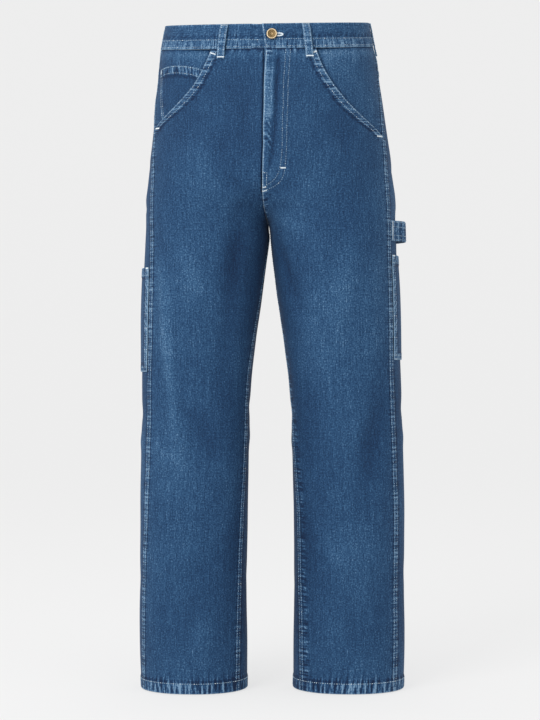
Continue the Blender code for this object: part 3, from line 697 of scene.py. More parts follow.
def hem_lift(above, along, seed):
    """Height of the rolled hem, and its wear with painted shade: it twists into slanted ridges
    below the stitches, paler on their tops from wear and darker between them as painted shade, with
    a painted shadow just above the hem.
    """
    phase = 2 * np.pi * (along + 0.12 * above) / HEM_PITCH
    wave = ripple(phase, seed)
    inside = window(above, 0, HEM_STITCH / MM, 3, 2.5)
    past = np.clip(above - HEM_STITCH, 0, None)
    gather = smooth_step((above - HEM_STITCH + 1 * MM) / (2 * MM)) * np.exp(-past / (6 * MM))
    rise = HEM_RISE * (within(above, HEM_DEPTH, 1.5 * MM))
    height = rise + edge_fall(above) + grooves(above, (HEM_STITCH,))
    height += (0.42 * inside + 0.3 * gather) * MM * wave
    near = within(above, HEM_DEPTH, 4 * MM)
    wear_and_shade = 0.42 * inside * wave + 0.5 * gather * wave + 0.06 * near
    # Pale wear on the folded bottom edge, and a painted shadow just above the hem's top edge
    wear_and_shade += 0.35 * swell(above, 1.6 * MM) - 0.4 * swell(above - 19 * MM, 1.8 * MM)
    return height, wear_and_shade


# Shares of the broad fading, the painted shade between the legs, the hips' painted shade on the
# left and on the right, and the folds' wear on ridges with painted shade in troughs
THIGH_WEAR = 0.04
KNEE_WEAR = 0.02
SEAT_WEAR = 0.05
INNER_SHADE = 0.12
HIP_SHADE = (0.01, 0.06)
FOLD_WEAR_AND_SHADE = 0.18
TALLEST_FOLD = 3.4 * MM


def broad_wear_and_shade(leg, turn, drop, height):
    """Broad fading, pale on the thighs and on fold ridges, with painted shade between the legs, on
    the hips and in fold troughs.
    """
    front = smooth_step(np.cos(np.radians(turn - 80)) / 0.9)
    thigh = swell(drop - 420 * MM, 190 * MM)
    knee = swell(drop - 610 * MM, 70 * MM)
    below = smooth_step((drop - CROTCH + 60 * MM) / (120 * MM))
    inner = smooth_step((-np.cos(np.radians(turn)) - 0.25) / 0.7) * below
    seat = swell(drop - 240 * MM, 90 * MM) * smooth_step(-np.sin(np.radians(turn)))
    hips = within(drop, 120 * MM, 260 * MM)
    wear_and_shade = THIGH_WEAR * front * thigh + KNEE_WEAR * front * knee + SEAT_WEAR * seat
    # Painted shade: darker on the inner sides of the legs below the crotch, and on the hips, more
    # on the right leg
    wear_and_shade = wear_and_shade - INNER_SHADE * inner - np.where(leg == LEFT, *HIP_SHADE) * hips
    # Fold ridges are paler from wear; fold troughs are darker as painted shade, up to three times
    # as much
    return wear_and_shade + np.clip(height / TALLEST_FOLD, -3, 1) * FOLD_WEAR_AND_SHADE


Piece = namedtuple("Piece", "place out across drop")


def set_value(mesh, title, values):
    """A number on each point of a mesh, for its material to read."""
    layer = mesh.attributes.new(title, "FLOAT", "POINT")
    layer.data.foreach_set("value", values.astype(np.float32))


def mesh_of(shape, name):
    mesh = bpy.data.meshes.new(name)
    shape.to_mesh(mesh)
    shape.free()
    return mesh


def make_grid(name, place, out, maps, values, materials):
    """A mesh grid moved onto an array of places, with its maps and values on the cloth."""
    rows, columns = place.shape[:2]
    shape = bmesh.new()
    bmesh.ops.create_grid(shape, x_segments=columns - 1, y_segments=rows - 1, size=1.0)
    mesh = mesh_of(shape, name)
    flat = np.empty(len(mesh.vertices) * 3, np.float32)
    mesh.vertices.foreach_get("co", flat)
    flat = flat.reshape(-1, 3)
    j = np.rint((flat[:, 0] + 1) / 2 * (columns - 1)).astype(int)
    i = np.rint((1 - flat[:, 1]) / 2 * (rows - 1)).astype(int)
    mesh.vertices.foreach_set("co", place[i, j].astype(np.float32).ravel())
    corners = np.empty(len(mesh.loops), np.int32)
    mesh.loops.foreach_get("vertex_index", corners)
    while mesh.uv_layers:
        mesh.uv_layers.remove(mesh.uv_layers[0])
    for title, (across, along) in maps.items():
        across, along = np.broadcast_arrays(across, along, np.empty((rows, columns)))[:2]
        pair = np.stack((across[i, j], along[i, j]), axis=-1)[corners]
        mesh.uv_layers.new(name=title).data.foreach_set("uv", pair.astype(np.float32).ravel())
    for title, value in values.items():
        set_value(mesh, title, np.broadcast_to(value, (rows, columns))[i, j])
    mesh.update()
    middle = mesh.polygons[len(mesh.polygons) // 2]
    corner = middle.vertices[0]
    if Vector(out[i[corner], j[corner]]).dot(middle.normal) < 0:
        mesh.flip_normals()
    mesh.shade_smooth()
    for one in materials:
        mesh.materials.append(one)
    return mesh


def add_piece(name, mesh, nodes=()):
    """A finished piece: it rides on the one body and stands for its own CAD nodes."""
    thing = bpy.data.objects.new(name, mesh)
    bpy.context.scene.collection.objects.link(thing)
    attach(thing, "root")
    if nodes:
        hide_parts(*nodes)
    return thing


def add_wall(thing, ply):
    """The cloth's thickness, inwards from its outer face, with the pale reverse inside."""
    wall = thing.modifiers.new("wall", "SOLIDIFY")
    wall.thickness = ply
    wall.offset = -1.0
    wall.use_even_offset = False
    wall.material_offset = 1
    wall.material_offset_rim = 0


def denim_faces():
    return [bpy.data.materials[name] for name in ("washed_denim", "denim_reverse")]


def own_side(leg):
    """How near the middle plane a panel may come; the right one goes on a little beneath."""
    return MIDDLE_GAP if leg == LEFT else -TUCK


def add_cloth(
    name, leg, turn, drop, lift, maps, values, ply=PLY, limit=None, across=None,
    nodes=None,
):
    """One cloth piece: a grid of places with a wall inwards from it. It stands for its solid."""
    place, out, height = cloth_place(leg, turn, drop, lift, limit)
    values = dict(values)
    # This value carries both the cloth's wear and the painted shade of seams, folds and the crotch,
    # for the denim's colour
    values["fade"] = values.get("fade", 0.0) + broad_wear_and_shade(leg, turn, drop, height)
    mesh = make_grid(name, place, out, maps, values, denim_faces())
    thing = add_piece("cloth_" + name, mesh, (name,) if nodes is None else nodes)
    add_wall(thing, ply)
    return Piece(place, out, across, drop)


def sample(piece, rows, columns):
    """Places and ways out at positions between a piece's rows and columns."""
    rows, columns = np.broadcast_arrays(np.asarray(rows, float), np.asarray(columns, float))
    return [read_between(field, rows, columns) for field in (piece.place, piece.out)]


def line_down(piece, inset, top=0.0, low=HEM, from_end=False):
    """A line down a piece, at a distance in from its first or last column."""
    here = (piece.drop[:, 0] >= top) & (piece.drop[:, 0] <= low)
    rows = np.nonzero(here)[0]
    number = np.arange(piece.across.shape[1])
    columns = []
    for i in rows:
        across = piece.across[i]
        at = across[-1] - inset if from_end else across[0] + inset
        columns.append(np.interp(at, across, number))
    return sample(piece, rows, columns)


def line_across(piece, depth, from_low=False):
    """A line along a piece, at a depth from its top or its bottom edge."""
    number = np.arange(piece.drop.shape[0])
    columns = np.arange(piece.drop.shape[1])
    rows = []
    for j in columns:
        drop = piece.drop[:, j]
        at = drop[-1] - depth if from_low else drop[0] + depth
        rows.append(np.interp(at, drop, number))
    return sample(piece, rows, columns)


def line_through(piece, points):
    """A curved line over a piece, through (distance from its last column, drop) in millimetres."""
    points = np.array(points) * MM
    chord = np.concatenate(([0], np.cumsum(np.linalg.norm(np.diff(points, axis=0), axis=1))))
    table = np.column_stack((chord / MM, points))
    bends = [Curve(table, 1), Curve(table, 2)]
    even = np.linspace(0, chord[-1], 240)
    inset, drop = bends[0](even), bends[1](even)
    rows = np.interp(drop, piece.drop[:, 0], np.arange(piece.drop.shape[0]))
    columns = []
    for row, one in zip(rows, inset):
        across = piece.across[int(round(row))]
        columns.append(np.interp(across[-1] - one, across, np.arange(len(across))))
    return sample(piece, rows, columns)


def unit(ways):
    return ways / np.linalg.norm(ways, axis=-1, keepdims=True)


class Thread:
    """Collects single stitches, then makes them one mesh."""

    def __init__(self):
        self.places = []

    def row(self, line, turned_across=False, pitch=None, long=None, thick=None, tone=ROW_TONE):
        """Stitches along a line of places and ways out."""
        sewing = bpy.context.scene.pants_sewing
        pitch = pitch or sewing.stitch_length + sewing.stitch_gap
        long = long or sewing.stitch_length
        thick = thick or sewing.thread_thickness
        place, out = line
        along = np.concatenate(([0], np.cumsum(np.linalg.norm(np.diff(place, axis=0), axis=1))))
        count = max(1, int(along[-1] / pitch))
        at = (np.arange(count) + 0.5) * along[-1] / count
        spot, ahead, behind, up = (
            np.stack([np.interp(at + off, along, field[:, k]) for k in range(3)], axis=-1)
            for off, field in ((0, place), (long / 2, place), (-long / 2, place), (0, out))
        )
        way = unit(ahead - behind)
        side = unit(np.cross(up, way))
        up = np.cross(way, side)
        if turned_across:
            way, side = side, way
        wide = np.full((count, 1), thick) * (1 + 0.16 * ripple(2.3 * np.arange(count))[:, None])
        axes = np.stack((way * long / 2, side * wide / 2, up * wide / 2), axis=1)
        tone = np.full(count, tone) + 0.30 * ripple(1.9 * np.arange(count) + 40 * at) * (tone < 0.9)
        self.places.append((spot + up * thick * 0.1, axes, tone))

    def bartack(self, line, pitch=TACK_PITCH, long=TACK_LENGTH, thick=TACK_THREAD, tone=1.0):
        """A close block of clean stitches across a short line."""
        self.row(line, True, pitch, long, thick, tone)

    def make(self, name):
        shape = bmesh.new()
        bmesh.ops.create_icosphere(shape, subdivisions=1, radius=1.0)
        bead = np.array([v.co for v in shape.verts])
        faces = np.array([[v.index for v in face.verts] for face in shape.faces])
        shape.free()
        bead[:, 0] = np.sign(bead[:, 0]) * np.abs(bead[:, 0]) ** 0.6
        spots, axes, tones = (np.concatenate(part) for part in zip(*self.places))
        points = spots[:, None, :] + bead @ axes
        order = faces[None] + (np.arange(len(spots)) * len(bead))[:, None, None]
        mesh = bpy.data.meshes.new(name)
        mesh.vertices.add(points.size // 3)
        mesh.vertices.foreach_set("co", points.astype(np.float32).ravel())
        mesh.loops.add(order.size)
        mesh.loops.foreach_set("vertex_index", order.astype(np.int32).ravel())
        mesh.polygons.add(order.size // 3)
        mesh.polygons.foreach_set("loop_start", np.arange(0, order.size, 3, dtype=np.int32))
        mesh.update(calc_edges=True)
        set_value(mesh, "clean", np.repeat(tones, len(bead)))
        turned_in = Vector(points[0][faces[0][0]]) - Vector(spots[0])
        if turned_in.dot(mesh.polygons[0].normal) < 0:
            mesh.flip_normals()
        mesh.shade_smooth()
        mesh.materials.append(bpy.data.materials["cotton_thread"])
        return add_piece(name, mesh)


class Shade:
    """A socket that maths can be written on."""

    def __init__(self, finish, socket):
        self.finish = finish
        self.socket = socket

    def maths(self, operation, *values, clamp=False):
        settings = {"operation": operation, "use_clamp": clamp}
        sockets = dict(enumerate(values))
        return self.finish.node("ShaderNodeMath", settings, sockets)

    def __add__(self, other):
        return self.maths("ADD", self, other)

    def __mul__(self, other):
        return self.maths("MULTIPLY", self, other)

    __rmul__ = __mul__

    def __sub__(self, other):
        return self.maths("SUBTRACT", self, other)

    def __rsub__(self, other):
        return self.maths("SUBTRACT", other, self)

    def limited(self):
        return self.maths("ADD", self, 0.0, clamp=True)


class Finish:
    """One material, built from nodes."""

    def __init__(self, name):
        self.material = bpy.data.materials.new(name)
        self.material.use_nodes = True
        self.tree = self.material.node_tree
        self.shader = self.tree.nodes["Principled BSDF"]

    def node(self, kind, settings=None, sockets=None, output=0):
        """Adds a node: its settings first, then the values or links of its sockets."""
        made = self.tree.nodes.new(kind)
        for key, value in (settings or {}).items():
            if key == "stops":
                self.stops(made.color_ramp, value)
            else:
                setattr(made, key, value)
        for key, value in (sockets or {}).items():
            if isinstance(value, Shade):
                self.tree.links.new(value.socket, made.inputs[key])
            else:
                made.inputs[key].default_value = value
        return Shade(self, made.outputs[output])

    @staticmethod
    def stops(ramp, rows):
        while len(ramp.elements) < len(rows):
            ramp.elements.new(1.0)
        for element, (at, colour) in zip(ramp.elements, rows):
            element.position = at
            element.color = (*colour, 1.0)

    def feed(self, **sockets):
        """Sets or links sockets of the shader; an underscore stands for a space."""
        for key, value in sockets.items():
            socket = self.shader.inputs[key.replace("_", " ")]
            if isinstance(value, Shade):
                self.tree.links.new(value.socket, socket)
            else:
                socket.default_value = value

    def uv(self, title):
        return self.node("ShaderNodeUVMap", {"uv_map": title})

    def value(self, title):
        return self.node("ShaderNodeAttribute", {"attribute_name": title}, output="Fac")

    def scaled(self, vector, *sizes):
        return self.node("ShaderNodeVectorMath", {"operation": "MULTIPLY"}, {0: vector, 1: sizes})

    def noise(self, vector, detail=2.0, roughness=0.5, distortion=0.0):
        sockets = {
            "Vector": vector, "Scale": 1.0, "Detail": detail, "Roughness": roughness,
            "Distortion": distortion,
        }
        return self.node("ShaderNodeTexNoise", {}, sockets, "Fac")

    def ramp(self, level, *stops):
        """A blend of colours, each with its place from 0 to 1."""
        return self.node("ShaderNodeValToRGB", {"stops": stops}, {"Fac": level})

    def bump(self, height, distance, strength=1.0):
        sockets = {"Height": height, "Distance": distance, "Strength": strength}
        return self.node("ShaderNodeBump", {}, sockets)


# Unevenness of the cloth: the map it lies on, dents in a metre across and along, strength, then
# the noise's detail, roughness and distortion
DENIM_NOISES = {
    "slub": ("cloth", 760, 62, 0.8, 3.0, 0.62),
    "streak": ("cloth", 300, 11, 0.3, 2.0, 0.5),
    "heather": ("cloth", 480, 400, 1.5, 2.0, 0.7),
    "cloud": ("cloth", 13, 8, 0.4, 3.0, 0.55),
    "pucker": ("seam", 290, 40, 4.4, 2.0, 0.5, 0.2),
    "grit": ("seam", 620, 330, 0.8, 2.0, 0.6),
}
DENIM_LEVEL = 0.45
TWILL_SCALE = 900
FUZZ_SCALE = 900
REVERSE_SCALE = 420


def denim_tone(finish):
    """How pale the warp is over the cloth: slubs, heather, weave, puckers at seams, paler on their
    tops from wear and darker in their hollows as painted shade, and the fading with painted shade
    that the pieces carry.
    """
    maps = {title: finish.uv(title) for title in ("cloth", "seam")}
    found, shares = {}, {"cloth": finish.value("fade"), "seam": 0.0}
    for name, (title, wide, long, strength, *noise) in DENIM_NOISES.items():
        found[name] = finish.noise(finish.scaled(maps[title], wide, long, 0), *noise)
        shares[title] = (found[name] - 0.5) * strength + shares[title]
    # Pucker noise also drives the bump: paler where it stands up, darker in its hollows as painted
    # shade
    pucker_wear_and_shade = shares["seam"] * finish.value("stitched")
    tone = shares["cloth"] + pucker_wear_and_shade + DENIM_LEVEL
    return tone.limited(), found["slub"], found["heather"], pucker_wear_and_shade


def make_denim():
    """Washed indigo twill, and its pale reverse."""
    cloth = bpy.context.scene.pants_cloth
    finish = Finish("washed_denim")
    tone, slub, heather, pucker_wear_and_shade = denim_tone(finish)
    # The low end of this ramp also shows the painted shade carried in the cloth's fading values
    colour = finish.ramp(
        tone, (0.0, cloth.deep), (0.42, cloth.body), (0.72, cloth.faded), (1.0, cloth.worn),
    )
    where = finish.scaled(finish.uv("cloth"), TWILL_SCALE, TWILL_SCALE, 0)
    twill = finish.node(
        "ShaderNodeTexWave", {"bands_direction": "DIAGONAL"},
        {"Vector": where, "Scale": 0.35, "Distortion": 1.2}, "Fac",
    )
    relief = slub * 0.5 + heather * 0.5 + twill * 0.5 + pucker_wear_and_shade * 1.4
    finish.feed(
        Base_Color=colour, Roughness=0.86, Normal=finish.bump(relief, 0.16 * MM, 0.8),
        Sheen_Weight=0.03, Sheen_Roughness=0.45, Specular_IOR_Level=0.22,
    )
    back = Finish("denim_reverse")
    where = back.scaled(back.uv("cloth"), REVERSE_SCALE, REVERSE_SCALE, 0)
    grain = back.noise(where, 3.0, 0.65)
    colour = back.ramp(grain, (0.2, cloth.reverse_dark), (0.8, cloth.reverse))
    back.feed(
        Base_Color=colour, Roughness=0.9, Normal=back.bump(grain, 0.15 * MM),
        Specular_IOR_Level=0.2,
    )


def make_thread():
    """Pale cotton thread, fuzzy and a little uneven."""
    cloth = bpy.context.scene.pants_cloth
    finish = Finish("cotton_thread")
    where = finish.node("ShaderNodeTexCoord", output="Object")
    fibre = finish.noise(finish.scaled(where, *[FUZZ_SCALE] * 3), 2.0, 0.6)
    wash = finish.noise(finish.scaled(where, *[FUZZ_SCALE / 10] * 3), 2.0, 0.5)
    level = finish.value("clean") + (fibre - 0.5) * 0.3 + (wash - 0.5) * 0.7
    mixed = finish.ramp(
        level.limited(), (0.2, cloth.thread_dark), (0.75, cloth.thread), (1.0, cloth.thread_new),
    )
    finish.feed(
        Base_Color=mixed, Roughness=0.8, Normal=finish.bump(fibre, 0.05 * MM),
        Specular_IOR_Level=0.3,
    )


def make_brass():
    """Aged brass: pale where it is rubbed and where a highlight is painted on the centre, and dark
    in the dish.
    """
    cloth = bpy.context.scene.pants_cloth
    finish = Finish("aged_brass")
    rubbed = finish.value("rubbed")
    where = finish.node("ShaderNodeTexCoord", output="Object")
    stain = finish.noise(finish.scaled(where, *[FUZZ_SCALE] * 3), 4.0, 0.6)
    level = (rubbed + (stain - 0.5) * 0.7).limited()
    colour = finish.ramp(
        level, (0.0, cloth.brass_dark), (0.55, cloth.brass), (1.0, cloth.brass_rubbed),
    )
    finish.feed(
        Base_Color=colour, Metallic=1.0, Roughness=0.7 - 0.25 * level,
        Normal=finish.bump(stain, 0.04 * MM),
    )


def panel_maps(leg, turn, drop, middle, seam_along, seam_off):
    """The cloth map follows the grain, and the seam map follows the nearest sewn line."""
    return {
        "cloth": (GRAIN.across(leg, turn, drop, middle), -drop), "seam": (seam_along, seam_off),
    }


def seam_map(across, from_end, drop, start_wide, end_wide, along_first=None):
    """Where the nearest sewn line runs, how far off it is, and how much it gathers the cloth."""
    above = HEM - drop
    offs = [
        np.clip(across - start_wide, 0, None), np.clip(from_end - end_wide, 0, None),
        np.clip(above - HEM_DEPTH, 0, None), np.clip(drop - BAND_WIDTH - 2 * MM, 0, None),
    ]
    reach = [3.2 * MM, 3.2 * MM, 8 * MM, 7 * MM]
    first = drop if along_first is None else along_first
    lines = [first, drop + 7.0, across + 3.0, across + 5.0]
    off = np.stack(np.broadcast_arrays(*offs))
    force = np.exp(-off / np.array(reach)[:, None, None])
    nearest = force.argmax(axis=0)[None]
    beside = (across, from_end, above, drop)
    return [
        np.take_along_axis(np.stack(np.broadcast_arrays(*parts)), nearest, 0)[0]
        for parts in (lines, beside, force)
    ]


def waist_wear_and_shade(drop):
    """Below the waistband there is a painted shadow line along the band's edge and then a paler
    strip.
    """
    below = drop - BAND_WIDTH
    return 0.12 * swell(below - 8 * MM, 7 * MM) - 0.5 * swell(below, SEAM_SHADE)


def fly_folds(from_end, drop):
    """A worn ridge down the fly, the trough beside it and the crumples below, in height and colour:
    pale on the ridge from wear, painted shade in the trough, and the crumples paler on their tops
    and darker in their hollows as painted shade.
    """
    ridge = window(drop, 58, 164, 16, 14) * window(from_end, 0, 18, 4, 5)
    side = np.interp(drop / MM, (40, 110, 165, 205, 250), (21, 19.5, 18.5, 15, 11)) * MM
    trough = window(drop, 44, 252, 14, 30) * swell(from_end - side, 3.6 * MM)
    here = window(drop, 156, 222, 12, 16) * window(from_end, 0, 15, 2, 4)
    zigzag = 9 * MM * np.abs((from_end / (13 * MM) + 0.5) % 1 - 0.5)
    wave = ripple(2 * np.pi * (drop - 1.1 * from_end + zigzag) / (13 * MM), 1.0) * here
    rise = (1.3 * ridge - 1.6 * trough + 1.0 * wave) * MM
    return rise, 0.24 * ridge - 0.30 * trough + 0.42 * wave


def make_front(leg, thread):
    """One front panel, from the slanted pocket opening to the middle seam and the inseam."""
    way = Stretch(leg, slash_turn, front_end)
    drops = PANEL_ROWS
    length = way.length(drops)
    if leg == LEFT:
        length = length - FLY_EDGE_BACK * (within(drops, BAND_WIDTH, 60 * MM))
    across = columns_across(length, FRONT_COLUMNS)
    below = smooth_step((drops - SLASH_END[leg]) / (10 * MM))[:, None]
    tucked = across - TUCK * below * np.clip(1 - across / TUCK_RAMP, 0, 1)
    from_end = length[:, None] - across
    leg_part = smooth_step((drops - CROTCH - 4 * MM) / (10 * MM))[:, None]
    tucked = tucked + TUCK * leg_part * np.clip(1 - from_end / TUCK_RAMP, 0, 1)
    drop = np.broadcast_to(drops[:, None], across.shape)
    turn = way.turn(tucked, drop)
    fly = within(drop, FLY_END, FLY_FADE)

    slash = 1 - below
    lean = slash_lean(leg, drops)[:, None]
    inset = across / lean
    slash_band = slash * (within(inset, SLASH_BAND, 2 * MM))
    steps = np.diff(drops) * lean[:-1, 0]
    along_slash = np.concatenate(([0], np.cumsum(steps)))[:, None] + 0 * across
    gather = SLASH_GATHER * ripple(2 * np.pi * along_slash / PUCKER_PITCH, leg)
    lift = slash_band * (TURNED_RISE + gather)
    lift = lift + slash * (edge_fall(inset) + grooves(inset, SLASH_ROWS))
    # Pale wear along the slanted edge, and a painted shadow just beyond the turned band where it
    # steps down
    fade = slash * (
        0.10 * slash_band + 0.30 * swell(inset - 0.8 * MM, 1.2 * MM)
        - 0.30 * swell(inset - SLASH_BAND - 2.5 * MM, 2 * MM)
    )
    # Painted shadow along the outseam below the pocket and along the inseam, where the back panel's
    # felled band laps over
    fade = fade - below * 0.55 * swell(across, SEAM_SHADE)
    fade = fade - leg_part * 0.5 * swell(from_end, SEAM_SHADE)
    if leg == LEFT:
        middle = 1 - smooth_step((drop - CROTCH + 20 * MM) / (20 * MM))
        lift = lift + middle * (FELL_RISE * (within(from_end, 8 * MM, 3 * MM)))
        lift = lift + middle * edge_fall(from_end) + fly * grooves(from_end, (1.6 * MM,))
        fade = fade + middle * (0.55 * swell(from_end - 0.8 * MM, 1.4 * MM))
        shield = fly * (within(from_end, 36 * MM, 4 * MM))
        lift = lift + 0.3 * MM * shield
        # The fly's colour: wear on its ridge, painted shade in its trough and in the crumples'
        # hollows
        rise, worn = fly_folds(from_end, drop)
        lift = lift + rise
        fade = fade + worn
    else:
        lift = lift - fly * FLY_SINK * smooth_step((FLY_RAMP - from_end) / FLY_RAMP)
        # Painted shadow on the right front just beneath the fly's edge
        fade = fade - 0.5 * fly * swell(from_end, 2.5 * MM)
    above = HEM - drop
    roll, roll_wear_and_shade = hem_lift(above, across, 1.0 + leg)
    lift = lift + roll
    fade = fade + roll_wear_and_shade + waist_wear_and_shade(drop)
    slanted = slash > 0.5
    along, beside, force = seam_map(
        np.where(slanted, inset, across), from_end, drop, np.where(slanted, SLASH_BAND, 0.0),
        FELL_WIDTH if leg == LEFT else 0.0, along_first=np.where(slanted, along_slash, drop),
    )
    near_fly = smooth_step((60 * MM - from_end) / (8 * MM)) * fly * (drop > BAND_WIDTH + 16 * MM)
    calm = 1 - 0.75 * near_fly
    # Painted shade in the crotch: a dark wedge where the legs part
    fade = fade - 1.1 * swell(from_end, 3.5 * MM) * swell(drop - CROTCH + 6 * MM, 15 * MM)
    values = {"stitched": FRONT_GATHERED * force * calm, "fade": fade}
    maps = panel_maps(leg, turn, drop, FRONT_SIDE, along, beside)
    piece = add_cloth(
        "front_" + SIDE_NAME[leg], leg, turn, drop, lift, maps, values, limit=own_side(leg),
        across=across,
    )
    sew_slash(piece, leg, lean[:, 0], thread)
    sew_hem(piece, thread)
    return piece


def sew_hem(piece, thread):
    line = line_across(piece, HEM_STITCH, from_low=True)
    thread.row(line, thick=HEM_THREAD, tone=HEM_TONE)


def sew_slash(piece, leg, lean, thread):
    """Two rows beside the slanted edge and a bartack at each end."""
    number = np.arange(piece.across.shape[1])
    drops = piece.drop[:, 0]
    rows = np.nonzero((drops > BAND_WIDTH + 2 * MM) & (drops < SLASH_END[leg] - 3 * MM))[0]
    for inset in SLASH_ROWS:
        columns = [np.interp(inset * lean[i], piece.across[i], number) for i in rows]
        thread.row(sample(piece, rows, columns))
    for at, slope in ((BAND_WIDTH + 5.5 * MM, 3 * MM), (SLASH_END[leg] - 3 * MM, 0.0)):
        share = np.linspace(0.06, 0.94, 10)
        row = np.interp(at + slope * share, drops, np.arange(len(drops)))
        near = int(row[0])
        columns = np.interp(share * SLASH_BAND * lean[near], piece.across[near], number)
        thread.bartack(sample(piece, row, columns))


def sew_fly(piece, thread):
    """The fly's edge row, its two curved rows and its bartacks, on the left front."""
    thread.row(line_down(piece, 1.6 * MM, BAND_WIDTH + 2 * MM, FLY_END + 34 * MM, from_end=True))
    for points, tone in ((FLY_OUTER, 0.5), (FLY_INNER, 0.5), (FLY_BOX, 0.8)):
        thread.row(line_through(piece, points), tone=tone)
    for ends in FLY_BARTACKS:
        thread.bartack(line_through(piece, ends))


def make_underlap():
    """The strip of the right front that goes on beneath the fly's edge."""
    way = Stretch(LEFT, front_end, outseam_turn)
    drops = spans((37.5, 262, 4.5))
    across = np.linspace(0, 1, 9) * (2 * MM + FLY_UNDERLAP * (1 - smooth_step(
        (drops - 200 * MM) / (70 * MM)
    )))[:, None]
    drop = np.broadcast_to(drops[:, None], across.shape)
    turn = way.turn(across, drop)
    lift = np.full(across.shape, -FLY_SINK)
    maps = panel_maps(LEFT, turn, drop, FRONT_SIDE, drop, across)
    # Darker all over as painted shade beneath the fly's edge
    values = {"stitched": 0.2, "fade": -0.1}
    add_cloth("fly_underlap", LEFT, turn, drop, lift, maps, values, nodes=())


def yoke_drop(share):
    """The yoke seam: share is 0 at the outseam and 1 at the middle of the back."""
    return YOKE_SIDE + (YOKE_MIDDLE - YOKE_SIDE) * share


def back_edges(leg, across, from_end, drop):
    """Height, and wear with painted shadow, of the felled seams at both ends of a back piece."""
    lift = felled(across, drop)
    fade = felled_wear_and_shade(across)
    near_crotch = smooth_step(np.abs(drop - CROTCH) / (25 * MM))
    here = near_crotch * (1.0 if leg == LEFT else (drop > CROTCH))
    lift = lift + here * felled(from_end, drop)
    return lift, fade + here * felled_wear_and_shade(from_end)


def make_back(leg, thread):
    """One back panel, from the yoke seam to the hem."""
    way = Stretch(leg, outseam_turn, back_end)
    drops = spans((YOKE_SIDE / MM - 0.6, 100, 3))
    drops = np.concatenate((drops, PANEL_ROWS[PANEL_ROWS > 103 * MM]))
    length = way.length(drops)
    across = columns_across(length, BACK_COLUMNS)
    share = across / length[:, None]
    slope = within(drops, YOKE_SIDE, YOKE_FLAT_BELOW)[:, None]
    drop = drops[:, None] + (YOKE_MIDDLE - YOKE_SIDE) * share * slope
    length = way.length(drop)
    across = columns_lengthened(across, share, length)
    from_end = length - across
    tucked = across
    if leg == RIGHT:
        seat = 1 - smooth_step((drop - CROTCH + 30 * MM) / (20 * MM))
        tucked = across + TUCK * seat * np.clip(1 - from_end / TUCK_RAMP, 0, 1)
    turn = way.turn(tucked, drop)
    lift, fade = back_edges(leg, across, from_end, drop)
    roll, roll_wear_and_shade = hem_lift(HEM - drop, across, 4.0 + leg)
    lift = np.maximum(lift, 0) * (drop < HEM - HEM_DEPTH) + np.minimum(lift, 0) + roll
    fade = fade + roll_wear_and_shade
    below = drop - yoke_drop(share)
    # Painted shadow just below the yoke seam's felled band
    fade = fade - 0.5 * swell(below, 1.8 * MM)
    along, beside, force = seam_map(across, from_end, drop, 10 * MM, 10 * MM)
    seat = smooth_step((32 * MM - from_end) / (10 * MM)) * (drop < CROTCH)
    values = {"stitched": BACK_GATHERED * force * (1 - 0.65 * seat), "fade": fade}
    maps = panel_maps(leg, turn, drop, BACK_SIDE, along, beside)
    piece = add_cloth(
        "back_" + SIDE_NAME[leg], leg, turn, drop, lift, maps, values, limit=own_side(leg),
        across=across,
    )
    for inset in FELL_ROWS:
        thread.row(line_down(piece, inset), tone=FELL_TONE)
        first = 0.0 if leg == LEFT else CROTCH + 12 * MM
        thread.row(line_down(piece, inset, first, from_end=True), tone=FELL_TONE)
    sew_hem(piece, thread)


def columns_lengthened(across, share, length):
    """The same columns on rows of another length. Those at the seams keep to their ends."""
    count = len(SEAM_COLUMNS)
    moved = share * length
    moved[:, :count] = across[:, :count]
    moved[:, -count:] = length[:, -count:] - SEAM_COLUMNS[::-1]
    return moved


def make_yoke(leg, thread):
    """The shaped piece between the waistband and the back panel."""
    way = Stretch(leg, outseam_turn, back_end)
    steps = np.linspace(0, 1, YOKE_ROWS)
    top = BAND_WIDTH - 1 * MM
    length = way.length(np.full(YOKE_ROWS, top))
    across = columns_across(length, YOKE_COLUMNS)
    share = across / length[:, None]
    drop = top + (yoke_drop(share) - top) * steps[:, None]
    length = way.length(drop)
    across = columns_lengthened(across, share, length)
    from_end = length - across
    turn = way.turn(across, drop)
    to_seam = yoke_drop(share) - drop
    band = within(to_seam, FELL_WIDTH, FELL_STEP)
    lift, fade = back_edges(leg, across, from_end, drop)
    pucker = GATHER * ripple(2 * np.pi * across / PUCKER_PITCH, leg)
    lift = np.maximum(lift, band * (FELL_RISE + pucker)) + edge_fall(to_seam)
    lift = lift + grooves(to_seam, FELL_ROWS)
    fade = fade + felled_wear_and_shade(to_seam) + waist_wear_and_shade(drop)
    force = np.maximum(np.exp(-np.clip(to_seam - FELL_WIDTH, 0, None) / (7 * MM)), 0.2)
    values = {"stitched": PATCH_GATHERED * force, "fade": fade}
    maps = panel_maps(leg, turn, drop, BACK_SIDE, across, to_seam)
    piece = add_cloth(
        "yoke_" + SIDE_NAME[leg], leg, turn, drop, lift, maps, values, limit=own_side(leg),
        across=across,
    )
    for inset in FELL_ROWS:
        thread.row(line_across(piece, inset, from_low=True))
        thread.row(line_down(piece, inset))
        if leg == LEFT:
            thread.row(line_down(piece, inset, from_end=True))


def opening_width(leg, drop):
    """The pocket opening's width, from the outseam to the slanted edge."""
    return Stretch(leg, outseam_turn, slash_turn).length(drop)


def facing_height(leg, distance, drop):
    """The facing is level with the yoke at the outseam and sinks under the front panel."""
    width = opening_width(leg, drop)
    sink = FACING_SINK_LOW + (FACING_SINK - FACING_SINK_LOW) * smooth_step(width / FACING_SLOPE)
    level = np.clip((width - distance) / np.clip(width, 1 * MM, FACING_SLOPE), 0, 1)
    return -sink + (sink - FACING_AT_SEAM) * level


